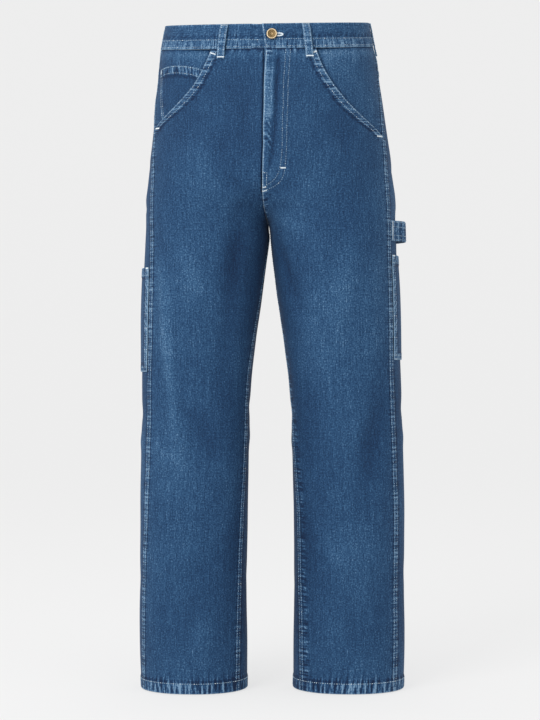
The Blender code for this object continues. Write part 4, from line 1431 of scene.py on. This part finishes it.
def make_facing(leg):
    """The hip piece that shows behind the slanted pocket opening."""
    way = Stretch(leg, outseam_turn, quarter_front)
    drops = spans((37.5, (SLASH_END[leg] - 3 * MM) / MM, 3.2))
    width = opening_width(leg, drops) + FACING_UNDER
    across = -TUCK + (width[:, None] + TUCK) * np.linspace(0, 1, 44)
    drop = np.broadcast_to(drops[:, None], across.shape)
    turn = way.turn(across, drop)
    lift = facing_height(leg, across, drop)
    # Painted shadow along the outseam, and more towards the slanted edge where the facing goes
    # under the front panel
    fade = 0.10 + waist_wear_and_shade(drop) - 0.4 * swell(across, 1.8 * MM)
    to_edge = opening_width(leg, drop) - across
    fade = fade - 0.3 * swell(to_edge, 5 * MM)
    force = 0.5 * np.exp(-np.clip(across, 0, None) / (8 * MM))
    maps = panel_maps(leg, turn, drop, FRONT_SIDE, drop, across)
    values = {"stitched": force, "fade": fade}
    add_cloth("pocket_facing_" + SIDE_NAME[leg], leg, turn, drop, lift, maps, values)


def make_coin_pocket(thread):
    """The small pocket on the right hip's facing, tucked under the front panel."""
    leg = RIGHT
    way = Stretch(leg, outseam_turn, quarter_front)
    down = np.linspace(0, 1, 34)[:, None]
    over = np.linspace(0, 1, 30)[None]
    crown = COIN_CROWN * (1.9 * over - 0.9) ** 2 * (1 - down)
    drop = COIN_TOP + (COIN_LOW - COIN_TOP) * down + crown
    width = opening_width(leg, drop) + COIN_UNDER - COIN_SIDE
    across = COIN_SIDE + width * over
    turn = way.turn(across, drop)
    from_top = (COIN_LOW - COIN_TOP) * down + 0 * over
    from_side = across - COIN_SIDE
    hem = within(from_top, COIN_HEM, 1.5 * MM)
    lift = facing_height(leg, across, drop) + COIN_LIFT - 0.4 * MM
    lift = lift + hem * (TURNED_RISE + GATHER * ripple(2 * np.pi * across / PUCKER_PITCH))
    lift = lift + edge_fall(from_top) + edge_fall(from_side) + grooves(from_side, FELL_ROWS[:1])
    fade = 0.10 * hem + 0.35 * swell(from_top, 1.5 * MM) + 0.3 * swell(from_side, 1.5 * MM)
    # Painted shadow just below the turned hem at the pocket's mouth
    fade = fade - 0.3 * swell(from_top - COIN_HEM - 3 * MM, 2 * MM)
    force = np.maximum(hem, np.exp(-from_side / (8 * MM)))
    maps = panel_maps(leg, turn, drop, FRONT_SIDE, across, from_top)
    values = {"stitched": COIN_GATHERED * force, "fade": fade}
    piece = add_cloth(
        "coin_pocket", leg, turn, drop, lift, maps, values, COIN_PLY, across=across,
    )
    for depth in COIN_ROWS:
        thread.row(line_across(piece, depth))
    for inset in COIN_SIDE_ROWS:
        thread.row(line_down(piece, inset))
    thread.bartack(sample(piece, np.linspace(0.6, 3.4, 8), np.full(8, 1.0)))


def band_stretch(leg, start, end):
    """A way along the rings at the height of the waistband."""
    return Stretch(leg, start, end, 0.0, BAND_REACH)


def waist_halves():
    """The ways round the waist from the front's middle by the left, and on by the right."""
    left = band_stretch(LEFT, quarter_front, quarter_back)
    return left, band_stretch(RIGHT, quarter_back, quarter_front)


def band_place(position, drop, lift):
    """Places round the waist, at a distance from the front's middle going round by the left."""
    left, right = waist_halves()
    first, second = left.length(drop), right.length(drop)
    position = np.where(position < 0, position + first + second, position)
    position = np.where(position > first + second, position - first - second, position)
    on_left = position <= first
    turn = np.where(on_left, left.turn(position, drop), right.turn(position - first, drop))
    leg = np.where(on_left, LEFT, RIGHT)
    return cloth_place(leg, turn, drop, lift)[:2]


def waist_round(drop):
    return sum(half.length(drop) for half in waist_halves())


def make_waistband(thread):
    """One folded strip round the waist. Its left end laps over its right end at the front."""
    radius = BAND_CLOTH / 2
    outside = spans((BAND_WIDTH / MM, BAND_WIDTH / MM - 1.2, 0.4))[:-1]
    outside = np.concatenate((outside, np.linspace(BAND_WIDTH - 1.2 * MM, radius, 26)))
    bend = np.radians(np.linspace(0, 180, 9)[1:-1])
    inside = np.linspace(radius, BAND_WIDTH, 9)
    down = np.concatenate((outside, radius - radius * np.sin(bend), inside))
    depth = np.concatenate(
        (0 * outside, -radius + radius * np.cos(bend), np.full(len(inside), -BAND_CLOTH))
    )
    along_band = np.linspace(0, 1, BAND_COLUMNS)
    drop = down[:, None] + 0 * along_band
    slant = OVER_END_TOP + (OVER_END_LOW - OVER_END_TOP) * drop / BAND_WIDTH
    total = waist_round(drop)
    position = -slant + (total + slant + UNDER_END) * along_band
    from_over = position + slant
    under = smooth_step((position - total + 26 * MM) / (18 * MM))
    wave = ripple(2 * np.pi * position / (4.3 * MM), 2.0)
    face = (depth[:, None] > -0.5 * radius) * 1.0
    near_edge = edge_fall(from_over) + edge_fall(BAND_WIDTH - drop)
    between = window(drop, BAND_ROWS[0] / MM, BAND_ROWS[1] / MM, 2, 2)
    strip = smooth_step((drop - BAND_ROWS[0] + 3 * MM) / (4 * MM))
    above = smooth_step((drop - 9 * MM) / (12 * MM)) * (1 - strip)
    pulled = ripple(2 * np.pi * (position + 0.7 * drop) / (9 * MM), 4.0) * above
    relief = near_edge + grooves(drop, BAND_ROWS) + 0.26 * MM * wave * (0.3 + between)
    relief = relief + 0.22 * MM * swell(drop, 4 * MM) * ripple(2 * np.pi * position / (4.6 * MM))
    relief = relief + 0.4 * MM * pulled
    lift = BAND_PROUD + depth[:, None] + face * relief - UNDER_SINK * under
    place, out = band_place(position, drop, lift)
    fade = 0.06 + 0.10 * strip + 0.4 * swell(BAND_WIDTH - drop, 1.3 * MM)
    fade = fade + 0.25 * swell(drop, 2 * MM) + 0.45 * swell(from_over - 0.8 * MM, 1.3 * MM)
    # The pulled wrinkles are paler on their tops and darker in their hollows as painted shade
    fade = fade - 0.16 * swell(drop - 20 * MM, 3 * MM) + 0.16 * pulled
    force = 0.05 + 0.7 * strip + 0.65 * swell(drop, 4 * MM) + 0.34 * above
    along_cloth = np.where(face > 0, drop, -drop)
    evened = position * total[-1:].mean() / total
    maps = {"cloth": (along_cloth, evened), "seam": (evened * 1.5, drop)}
    values = {"stitched": PATCH_GATHERED * force, "fade": fade}
    outwards = out * np.where(face > 0, 1, -1)[..., None]
    mesh = make_grid("waistband", place, outwards, maps, values, denim_faces())
    thing = add_piece("cloth_waistband", mesh, ("waistband",))
    add_wall(thing, BAND_PLY)
    front = slice(0, len(outside))
    face_drop = drop[front][::-1]
    piece = Piece(place[front][::-1], out[front][::-1], position[front][::-1], face_drop)
    for depth_at in BAND_ROWS:
        thread.row(line_across(piece, depth_at - radius))
    thread.row(line_down(piece, 2.0 * MM, 3 * MM))


def make_belt_loop(name, leg, turn_top, turn_low, over_seam, thread):
    """A folded strip that bows out from the waistband, so that a belt goes behind it."""
    low = BAND_WIDTH + LOOP_BELOW_BAND
    share = np.linspace(0, 1, LOOP_ROWS)[:, None]
    drop = LOOP_TOP + (low - LOOP_TOP) * share + 0 * np.linspace(-1, 1, LOOP_COLUMNS)
    on_band = within(drop, BAND_WIDTH, 2 * MM)
    base = PATCH_GAP + BAND_PROUD * on_band + over_seam * (1 - on_band)
    bow = LOOP_BOW[name.split("_")[0]] * smooth_step(share / 0.2) * smooth_step((1 - share) / 0.26)
    beside = np.linspace(-1, 1, LOOP_COLUMNS)[None] * LOOP_WIDTH / 2
    middle = turn_top + (turn_low - turn_top) * share
    if abs(turn_top) == 90:
        side = np.where(beside + 0 * drop >= 0, LEFT, RIGHT)
        ahead, behind = (
            band_stretch(half, quarter_back, outseam_turn).turn(np.abs(beside) + 0 * drop, drop)
            for half in (LEFT, RIGHT)
        )
        turn = np.where(side == LEFT, ahead, behind)
    else:
        side = leg
        way = band_stretch(leg, quarter_front, quarter_back)
        trial = np.linspace(0, 0.5, 400)
        centre = np.array([
            np.interp(-one, -way.turn(trial, np.full(400, at)), trial)
            for one, at in zip(middle[:, 0], drop[:, 0])
        ])[:, None]
        turn = way.turn(centre + leg * beside, drop)
    inset = LOOP_WIDTH / 2 - np.abs(beside) + 0 * drop
    lift = base + bow + LOOP_CLOTH + edge_fall(inset) + grooves(inset, (LOOP_ROW,))
    lift = lift + 0.12 * MM * ripple(2 * np.pi * drop / (4.2 * MM), leg)
    fade = 0.22 + 0.3 * swell(inset, 1.3 * MM) - 0.12 * swell(inset - 3.5 * MM, 1 * MM)
    wide = beside + LOOP_WIDTH / 2 + 0 * drop
    maps = {"cloth": (wide, -drop), "seam": (drop, inset)}
    values = {"stitched": LOOP_GATHERED, "fade": fade}
    piece = add_cloth(
        "belt_loop_" + name, side, turn, drop, lift, maps, values, LOOP_CLOTH,
        across=wide,
    )
    for inset_at in (LOOP_ROW, LOOP_WIDTH - LOOP_ROW):
        thread.row(line_down(piece, inset_at))
    for row, tone in ((1.0, 0.5), (31.4, 1.0)):
        line = sample(piece, np.full(10, row), np.linspace(0.2, 9.8, 10))
        thread.bartack(line, long=LOOP_TACK_LENGTH, tone=tone)


def patch_bulge(across, down):
    """A patch pocket stands out a little between its sewn edges."""
    side = np.clip(np.sin(np.pi * across), 0, None) ** 0.5
    return POCKET_BULGE * side * np.clip(np.sin(np.pi * (0.12 + 0.88 * down)), 0, None) ** 0.6


def patch_relief(from_sides, from_top, from_low):
    """Height, and wear with painted shadow, of a patch pocket: a hemmed mouth and turned,
    twice-sewn edges.
    """
    edge = np.minimum(from_sides, from_low)
    turned_in = within(edge, PATCH_TURNED, 2 * MM)
    hem = within(from_top, POCKET_HEM, 1.5 * MM)
    lift = np.maximum(0.35 * MM * turned_in, 0.8 * MM * hem)
    lift = lift + 1.4 * edge_fall(edge) + edge_fall(from_top)
    sewn = smooth_step((from_top - 1 * MM) / (2 * MM))
    lift = lift + sewn * grooves(edge, FELL_ROWS) + grooves(from_top, (POCKET_HEM - 2 * MM,))
    fade = 0.16 * turned_in + 0.22 * hem + 0.55 * swell(edge - 0.5 * MM, 1.2 * MM)
    fade = fade + 0.5 * swell(from_top, 1.5 * MM)
    # Painted shadows just below the mouth's hem and just inside the turned edges, where they step
    # down
    fade = fade - 0.3 * swell(from_top - POCKET_HEM - 2 * MM, 2 * MM)
    fade = fade - 0.3 * swell(edge - PATCH_TURNED - 2 * MM, 2 * MM)
    force = np.maximum(turned_in, hem)
    return lift, fade, force


def patch_rows(height, step):
    """Rows down a patch pocket: close at the mouth and the bottom, and step apart between."""
    low = height / MM
    mouth = (0, 2, 0.5), (2, 16, 2)
    return spans(*mouth, (16, low - 12, step), (low - 12, low - 2, 1.6), (low - 2, low, 0.5))


def make_tool_pocket(leg, thread):
    """The long patch pocket on the back panel, just behind the outseam."""
    top = TOOL_POCKET_TOP[leg]
    way = Stretch(leg, outseam_turn, back_end)
    over = columns_across([TOOL_POCKET_WIDTH], 30, PATCH_COLUMNS, PATCH_COLUMNS)
    down = patch_rows(TOOL_POCKET_HEIGHT, 4.2)
    over = np.broadcast_to(over, (len(down), over.shape[1]))
    drop = top + down[:, None] + 0 * over
    across = BEHIND_FELL + over
    turn = way.turn(across, drop)
    from_sides = np.minimum(over, TOOL_POCKET_WIDTH - over)
    from_low = TOOL_POCKET_HEIGHT - down[:, None] + 0 * over
    relief, fade, force = patch_relief(from_sides, down[:, None] + 0 * over, from_low)
    bulge = patch_bulge(over / TOOL_POCKET_WIDTH, down[:, None] / TOOL_POCKET_HEIGHT)
    lift = PATCH_GAP + PATCH_CLOTH + bulge + relief
    maps = {"cloth": (over, -drop), "seam": (drop + over, from_sides)}
    values = {"stitched": PATCH_GATHERED * force, "fade": fade}
    piece = add_cloth(
        "tool_pocket_" + SIDE_NAME[leg], leg, turn, drop, lift, maps, values, PATCH_CLOTH,
        across=over,
    )
    sew_patch(piece, thread)


def sew_patch(piece, thread):
    """Two rows round a patch pocket's sides and bottom, one at its mouth, and bartacks."""
    for inset in FELL_ROWS:
        thread.row(line_down(piece, inset))
        thread.row(line_down(piece, inset, from_end=True))
        thread.row(line_across(piece, inset, from_low=True))
    thread.row(line_across(piece, POCKET_HEM - 2 * MM))
    wide = piece.place.shape[1]
    for at in (np.linspace(1.5, 7.5, 10), np.linspace(wide - 8.5, wide - 2.5, 10)):
        thread.bartack(sample(piece, np.full(10, 2.6), at))


def make_back_pocket(leg, thread):
    """A plain patch pocket on the seat, pointed at the bottom."""
    way = Stretch(leg, outseam_turn, back_end)
    over = columns_across([BACK_POCKET_WIDTH], 46, PATCH_COLUMNS, PATCH_COLUMNS) / BACK_POCKET_WIDTH
    down = patch_rows(BACK_POCKET_SIDE, 3.6)[:, None] / BACK_POCKET_SIDE
    over = np.broadcast_to(over, (len(down), over.shape[1]))
    point = BACK_POCKET_POINT * (1 - np.abs(2 * over - 1)) * down
    width = BACK_POCKET_WIDTH * (1 - BACK_POCKET_NARROWING * down)
    lowered = BACK_POCKET_BELOW_YOKE + BACK_POCKET_SIDE * down + point
    inward = BACK_POCKET_INSET + BACK_POCKET_WIDTH / 2 + width * (0.5 - over)
    drop = yoke_drop(1 - inward / way.length(YOKE_MIDDLE + lowered)) + lowered
    turn = way.turn(way.length(drop) - inward, drop)
    from_sides = np.minimum(over, 1 - over) * width
    from_top = down * BACK_POCKET_SIDE + 0 * over
    from_low = (1 - down) * (BACK_POCKET_SIDE + BACK_POCKET_POINT * (1 - np.abs(2 * over - 1)))
    relief, fade, force = patch_relief(from_sides, from_top, from_low)
    lift = PATCH_GAP + PATCH_CLOTH + patch_bulge(over, down) + relief
    fade = fade + 0.14 * patch_bulge(over, down) / POCKET_BULGE
    maps = {"cloth": (over * width, -lowered), "seam": (drop + over * width, from_sides)}
    values = {"stitched": PATCH_GATHERED * force, "fade": fade}
    piece = add_cloth(
        "back_pocket_" + SIDE_NAME[leg], leg, turn, drop, lift, maps, values, PATCH_CLOTH,
        across=over * width,
    )
    sew_patch(piece, thread)


def make_hammer_loop(thread):
    """The wide strap at the left side, from behind the outseam round to the back panel."""
    way = Stretch(LEFT, outseam_turn, back_end)
    share = np.linspace(0, 1, HAMMER_COLUMNS)[None]
    down = np.linspace(0, 1, HAMMER_LINES)[:, None]
    drop = HAMMER_TOP + HAMMER_WIDTH * down + 0 * share
    across = BEHIND_FELL + HAMMER_REACH * share + 0 * down
    turn = way.turn(across, drop)
    bow = HAMMER_BOW * smooth_step((share - 0.04) / 0.42) * smooth_step((0.97 - share) / 0.42)
    inset = np.minimum(down, 1 - down) * HAMMER_WIDTH + 0 * share
    from_ends = np.minimum(share, 1 - share) * HAMMER_REACH + 0 * down
    lift = PATCH_GAP + HAMMER_CLOTH + bow + edge_fall(inset) + grooves(inset, HAMMER_ROWS)
    lift = lift + 0.14 * MM * ripple(2 * np.pi * across / (5 * MM))
    fade = 0.1 + 0.45 * swell(inset, 1.3 * MM) + 0.3 * swell(from_ends, 3 * MM)
    maps = {"cloth": (drop, -across), "seam": (across, inset)}
    piece = add_cloth(
        "hammer_loop", LEFT, turn, drop, lift, maps, {"stitched": BACK_GATHERED, "fade": fade},
        HAMMER_CLOTH, across=across,
    )
    for inset_at in HAMMER_ROWS:
        thread.row(line_across(piece, inset_at))
        thread.row(line_across(piece, inset_at, from_low=True))
    for column in (1.2, 49.8):
        thread.bartack(sample(piece, np.linspace(1.0, 19.0, 20), np.full(20, column)))


def make_button(thread):
    """The waist button: a dished cap on a short neck, turned about the way out of the band."""
    way = band_stretch(LEFT, quarter_front, quarter_back)
    at = np.array([BUTTON_DROP])
    turn = way.turn(np.array([BUTTON_FROM_MIDDLE]), at)
    seat, out = cloth_place(LEFT, turn, at, BAND_PROUD + BUTTON_SEAT)[:2]
    shape = bmesh.new()
    points = [shape.verts.new((radius * MM, 0, up * MM)) for radius, up in BUTTON_PROFILE]
    edges = [shape.edges.new(pair) for pair in zip(points, points[1:])]
    bmesh.ops.spin(
        shape, geom=points + edges, cent=(0, 0, 0), axis=(0, 0, 1), angle=math.tau,
        steps=BUTTON_SIDES, use_merge=True,
    )
    bmesh.ops.remove_doubles(shape, verts=shape.verts, dist=0.01 * MM)
    bmesh.ops.recalc_face_normals(shape, faces=shape.faces)
    mesh = mesh_of(shape, "waist_button")
    from_middle = [math.hypot(v.co.x, v.co.y) / MM for v in mesh.vertices]
    rubbed = [
        BUTTON_DULL + sum(share * swell(r - ring, wide) for ring, wide, share in BUTTON_RUBBED_AND_HIGHLIT)
        for r in from_middle
    ]
    set_value(mesh, "rubbed", np.array(rubbed))
    facing = Vector(out[0]).to_track_quat("Z", "Y").to_matrix().to_4x4()
    mesh.transform(Matrix.Translation(Vector(seat[0])) @ facing)
    mesh.shade_smooth()
    mesh.materials.append(bpy.data.materials["aged_brass"])
    add_piece("waist_button", mesh, ("button",))
    sew_buttonhole(way, thread)


def sew_buttonhole(way, thread):
    """Close stitches round the slit that the button goes through."""
    turns = np.linspace(0, math.tau, 60)
    distance = SLIT_MIDDLE + SLIT_LONG * np.cos(turns)
    drop = SLIT_DROP + SLIT_WIDE * np.sin(turns)
    line = cloth_place(LEFT, way.turn(distance, drop), drop, BAND_PROUD + SLIT_PROUD)[:2]
    thread.bartack(line, pitch=SLIT_PITCH, thick=SLIT_THREAD)


def colour_setting(name, description, default):
    return bpy.props.FloatVectorProperty(
        name=name, description=description, subtype="COLOR", size=3, default=default, min=0, max=1,
    )


def length_setting(name, description, default, least, most):
    """A length in millimetres, kept in metres."""
    return bpy.props.FloatProperty(
        name=name, description=description, subtype="DISTANCE", default=default * MM,
        min=least * MM, max=most * MM, precision=4,
    )


def strength_setting(name, description, default, subtype="NONE"):
    return bpy.props.FloatProperty(
        name=name, description=description, subtype=subtype, default=default, min=0,
    )


class ClothSettings(bpy.types.PropertyGroup):
    """Colours of the cloth, thread and button."""

    # deep is also the colour that the painted shade in the crotch, between the legs and in the
    # deepest troughs runs down to
    deep: colour_setting("Deep indigo", "Darkest warp", (0.0042, 0.017, 0.052))
    body: colour_setting("Body", "Usual colour of the cloth", (0.0120, 0.048, 0.120))
    faded: colour_setting("Faded", "Cloth on worn ridges", (0.040, 0.112, 0.225))
    worn: colour_setting("Worn", "Cloth on the edges of seams", (0.165, 0.280, 0.415))
    reverse: colour_setting("Reverse", "Weft on the inner face", (0.36, 0.43, 0.50))
    reverse_dark: colour_setting(
        "Reverse, dark", "Warp that shows on the inner face", (0.12, 0.18, 0.26),
    )
    thread: colour_setting("Thread", "Pale thread", (0.34, 0.46, 0.57))
    thread_dark: colour_setting("Thread, dark", "Thread that took up dye", (0.09, 0.16, 0.25))
    thread_new: colour_setting("Thread, clean", "Thread of the bartacks", (0.72, 0.79, 0.83))
    brass: colour_setting("Brass", "Aged brass", (0.42, 0.29, 0.14))
    brass_dark: colour_setting("Brass, dark", "Brass in the dish", (0.07, 0.045, 0.02))
    brass_rubbed: colour_setting("Brass, rubbed", "Brass on the rim", (0.66, 0.55, 0.38))


class SewingSettings(bpy.types.PropertyGroup):
    """Sizes of the stitches."""

    stitch_length: length_setting("Stitch", "Length of one stitch", 2.5, 1, 8)
    stitch_gap: length_setting("Gap", "Gap between stitches", 1.2, 0, 4)
    thread_thickness: length_setting("Thread", "Thickness of the thread", 1.0, 0.2, 2)


class StudioSettings(bpy.types.PropertyGroup):
    """Floor and lights."""

    floor: colour_setting("Floor", "Colour of floor and backdrop", (0.22, 0.22, 0.22))
    glow: strength_setting("Glow", "Even light of the floor and backdrop themselves", 0.67)
    sky: strength_setting("Sky", "Strength of the even light from all round", 0.76)
    key: strength_setting("Key", "Power of the large light at the front left", 58.0, "POWER")
    fill: strength_setting("Fill", "Power of the light above", 14.0, "POWER")


class PANTS_OT_materials(bpy.types.Operator):
    """Make denim, thread and brass"""

    bl_idname = "pants.materials"
    bl_label = "Materials"

    def execute(self, context):
        make_denim()
        make_thread()
        make_brass()
        return {"FINISHED"}


class PANTS_OT_fronts(bpy.types.Operator):
    """Make both front panels, the fly and their stitching"""

    bl_idname = "pants.fronts"
    bl_label = "Front panels"

    def execute(self, context):
        thread = Thread()
        left = make_front(LEFT, thread)
        make_front(RIGHT, thread)
        make_underlap()
        sew_fly(left, thread)
        thread.make("stitches_fronts")
        return {"FINISHED"}


class PANTS_OT_backs(bpy.types.Operator):
    """Make both back panels and yokes with their felled seams"""

    bl_idname = "pants.backs"
    bl_label = "Back panels and yokes"

    def execute(self, context):
        thread = Thread()
        for leg in (LEFT, RIGHT):
            make_back(leg, thread)
            make_yoke(leg, thread)
        thread.make("stitches_backs")
        return {"FINISHED"}


class PANTS_OT_hip_pockets(bpy.types.Operator):
    """Make the facings behind the slanted openings and the coin pocket"""

    bl_idname = "pants.hip_pockets"
    bl_label = "Hip pockets"

    def execute(self, context):
        thread = Thread()
        make_facing(LEFT)
        make_facing(RIGHT)
        make_coin_pocket(thread)
        thread.make("stitches_coin_pocket")
        return {"FINISHED"}


class PANTS_OT_waist(bpy.types.Operator):
    """Make the waistband, its belt loops and its button"""

    bl_idname = "pants.waist"
    bl_label = "Waistband, belt loops and button"

    def execute(self, context):
        thread = Thread()
        make_waistband(thread)
        rows = (
            ("front_left", LEFT, 69, 68, 0.0), ("front_right", RIGHT, 71, 70, 0.0),
            ("side_left", LEFT, -3, -3, FELL_RISE), ("side_right", RIGHT, -3, -3, FELL_RISE),
            ("back", LEFT, -90, -90, FELL_RISE),
        )
        for place, leg, top, low, over in rows:
            make_belt_loop(place, leg, top, low, over, thread)
        make_button(thread)
        thread.make("stitches_waist")
        return {"FINISHED"}


class PANTS_OT_patches(bpy.types.Operator):
    """Make the tool pockets, the back pockets and the hammer loop"""

    bl_idname = "pants.patches"
    bl_label = "Patch pockets and hammer loop"

    def execute(self, context):
        thread = Thread()
        for leg in (LEFT, RIGHT):
            make_tool_pocket(leg, thread)
            make_back_pocket(leg, thread)
        make_hammer_loop(thread)
        thread.make("stitches_patches")
        return {"FINISHED"}


class PANTS_OT_stage(bpy.types.Operator):
    """Make the floor, the lights and the camera"""

    bl_idname = "pants.stage"
    bl_label = "Studio"

    def execute(self, context):
        make_floor()
        make_lights()
        make_camera()
        context.scene.view_settings.view_transform = "Standard"
        return {"FINISHED"}


CAMERA_BACK = 2.8
CAMERA_DOWN = 0.518
CAMERA_LENS = 87.5
SENSOR = 36.0
FLOOR_DOWN = WAIST_TOP - HEM - 1.5 * MM
SWEEP = 2.5
SWEEP_FROM = 6.5
FLOOR_HALF = 12.0
SWEEP_STEPS = 16
LIT_MIDDLE = (0, 0, -0.5)

# Name, the setting with its power, size and place
LIGHTS = (
    ("key_light", "key", 1.6, (-1.7, -2.6, 0.9)),
    ("top_light", "fill", 2.4, (0.2, -0.4, 2.6)),
)


def make_floor():
    """A pale floor that sweeps up into a backdrop, with no corner."""
    shape = bmesh.new()
    start = shape.verts.new((-FLOOR_HALF, -FLOOR_HALF, FLOOR_DOWN))
    points = [start, shape.verts.new((-FLOOR_HALF, SWEEP_FROM, FLOOR_DOWN))]
    for i in range(1, SWEEP_STEPS + 1):
        turn = math.radians(90 * i / SWEEP_STEPS)
        y = SWEEP_FROM + SWEEP * math.sin(turn)
        z = FLOOR_DOWN + SWEEP * (1 - math.cos(turn))
        points.append(shape.verts.new((-FLOOR_HALF, y, z)))
    points.append(shape.verts.new((-FLOOR_HALF, SWEEP_FROM + SWEEP, FLOOR_DOWN + FLOOR_HALF)))
    edges = [shape.edges.new(pair) for pair in zip(points, points[1:])]
    swept = bmesh.ops.extrude_edge_only(shape, edges=edges)
    moved = [one for one in swept["geom"] if isinstance(one, bmesh.types.BMVert)]
    bmesh.ops.translate(shape, verts=moved, vec=(2 * FLOOR_HALF, 0, 0))
    bmesh.ops.recalc_face_normals(shape, faces=shape.faces)
    mesh = mesh_of(shape, "studio_floor")
    mesh.shade_smooth()
    finish = Finish("studio_paper")
    finish.feed(
        Base_Color=(*bpy.context.scene.pants_studio.floor, 1.0), Roughness=1.0,
        Specular_IOR_Level=0.0, Emission_Color=(1.0, 1.0, 1.0, 1.0),
        Emission_Strength=bpy.context.scene.pants_studio.glow,
    )
    mesh.materials.append(finish.material)
    thing = bpy.data.objects.new("studio_floor", mesh)
    bpy.context.scene.collection.objects.link(thing)


def add_light(name, power, size, place):
    """A square light that faces the middle of the pants."""
    data = bpy.data.lights.new(name, "AREA")
    data.energy = power
    data.size = size
    light = bpy.data.objects.new(name, data)
    light.location = place
    way = Vector(LIT_MIDDLE) - Vector(place)
    light.rotation_euler = way.to_track_quat("-Z", "Y").to_euler()
    bpy.context.scene.collection.objects.link(light)


def make_lights():
    studio = bpy.context.scene.pants_studio
    for name, setting, size, place in LIGHTS:
        add_light(name, getattr(studio, setting), size, place)
    world = bpy.data.worlds.new("studio")
    bpy.context.scene.world = world
    world.use_nodes = True
    back = world.node_tree.nodes["Background"]
    back.inputs["Color"].default_value = (1.0, 1.0, 1.0, 1.0)
    back.inputs["Strength"].default_value = studio.sky


def make_camera():
    data = bpy.data.cameras.new("camera")
    data.lens = CAMERA_LENS
    data.sensor_fit = "VERTICAL"
    data.sensor_height = SENSOR
    camera = bpy.data.objects.new("camera", data)
    camera.location = (0.0, -CAMERA_BACK, -CAMERA_DOWN)
    camera.rotation_euler = (math.radians(90), 0, 0)
    bpy.context.scene.collection.objects.link(camera)
    bpy.context.scene.camera = camera


OPERATORS = (
    PANTS_OT_materials, PANTS_OT_fronts, PANTS_OT_backs, PANTS_OT_hip_pockets, PANTS_OT_waist,
    PANTS_OT_patches, PANTS_OT_stage,
)


class PANTS_PT_panel(bpy.types.Panel):
    """The pieces of the pants and their settings"""

    bl_label = "Carpenter pants"
    bl_idname = "PANTS_PT_panel"
    bl_space_type = "VIEW_3D"
    bl_region_type = "UI"
    bl_category = "Pants"

    def draw(self, context):
        for one in OPERATORS:
            self.layout.operator(one.bl_idname)
        for group, kind in SETTINGS:
            for key in kind.__annotations__:
                self.layout.prop(getattr(context.scene, group), key)


SETTINGS = (
    ("pants_cloth", ClothSettings), ("pants_sewing", SewingSettings),
    ("pants_studio", StudioSettings),
)


def register():
    for group, kind in SETTINGS:
        bpy.utils.register_class(kind)
        setattr(bpy.types.Scene, group, bpy.props.PointerProperty(type=kind))
    for one in (*OPERATORS, PANTS_PT_panel):
        bpy.utils.register_class(one)


def unregister():
    for one in (PANTS_PT_panel, *OPERATORS):
        bpy.utils.unregister_class(one)
    for group, kind in SETTINGS:
        delattr(bpy.types.Scene, group)
        bpy.utils.unregister_class(kind)


def main():
    register()
    for one in OPERATORS:
        group, title = one.bl_idname.split(".")
        getattr(getattr(bpy.ops, group), title)()


if __name__ == "__main__":
    main()
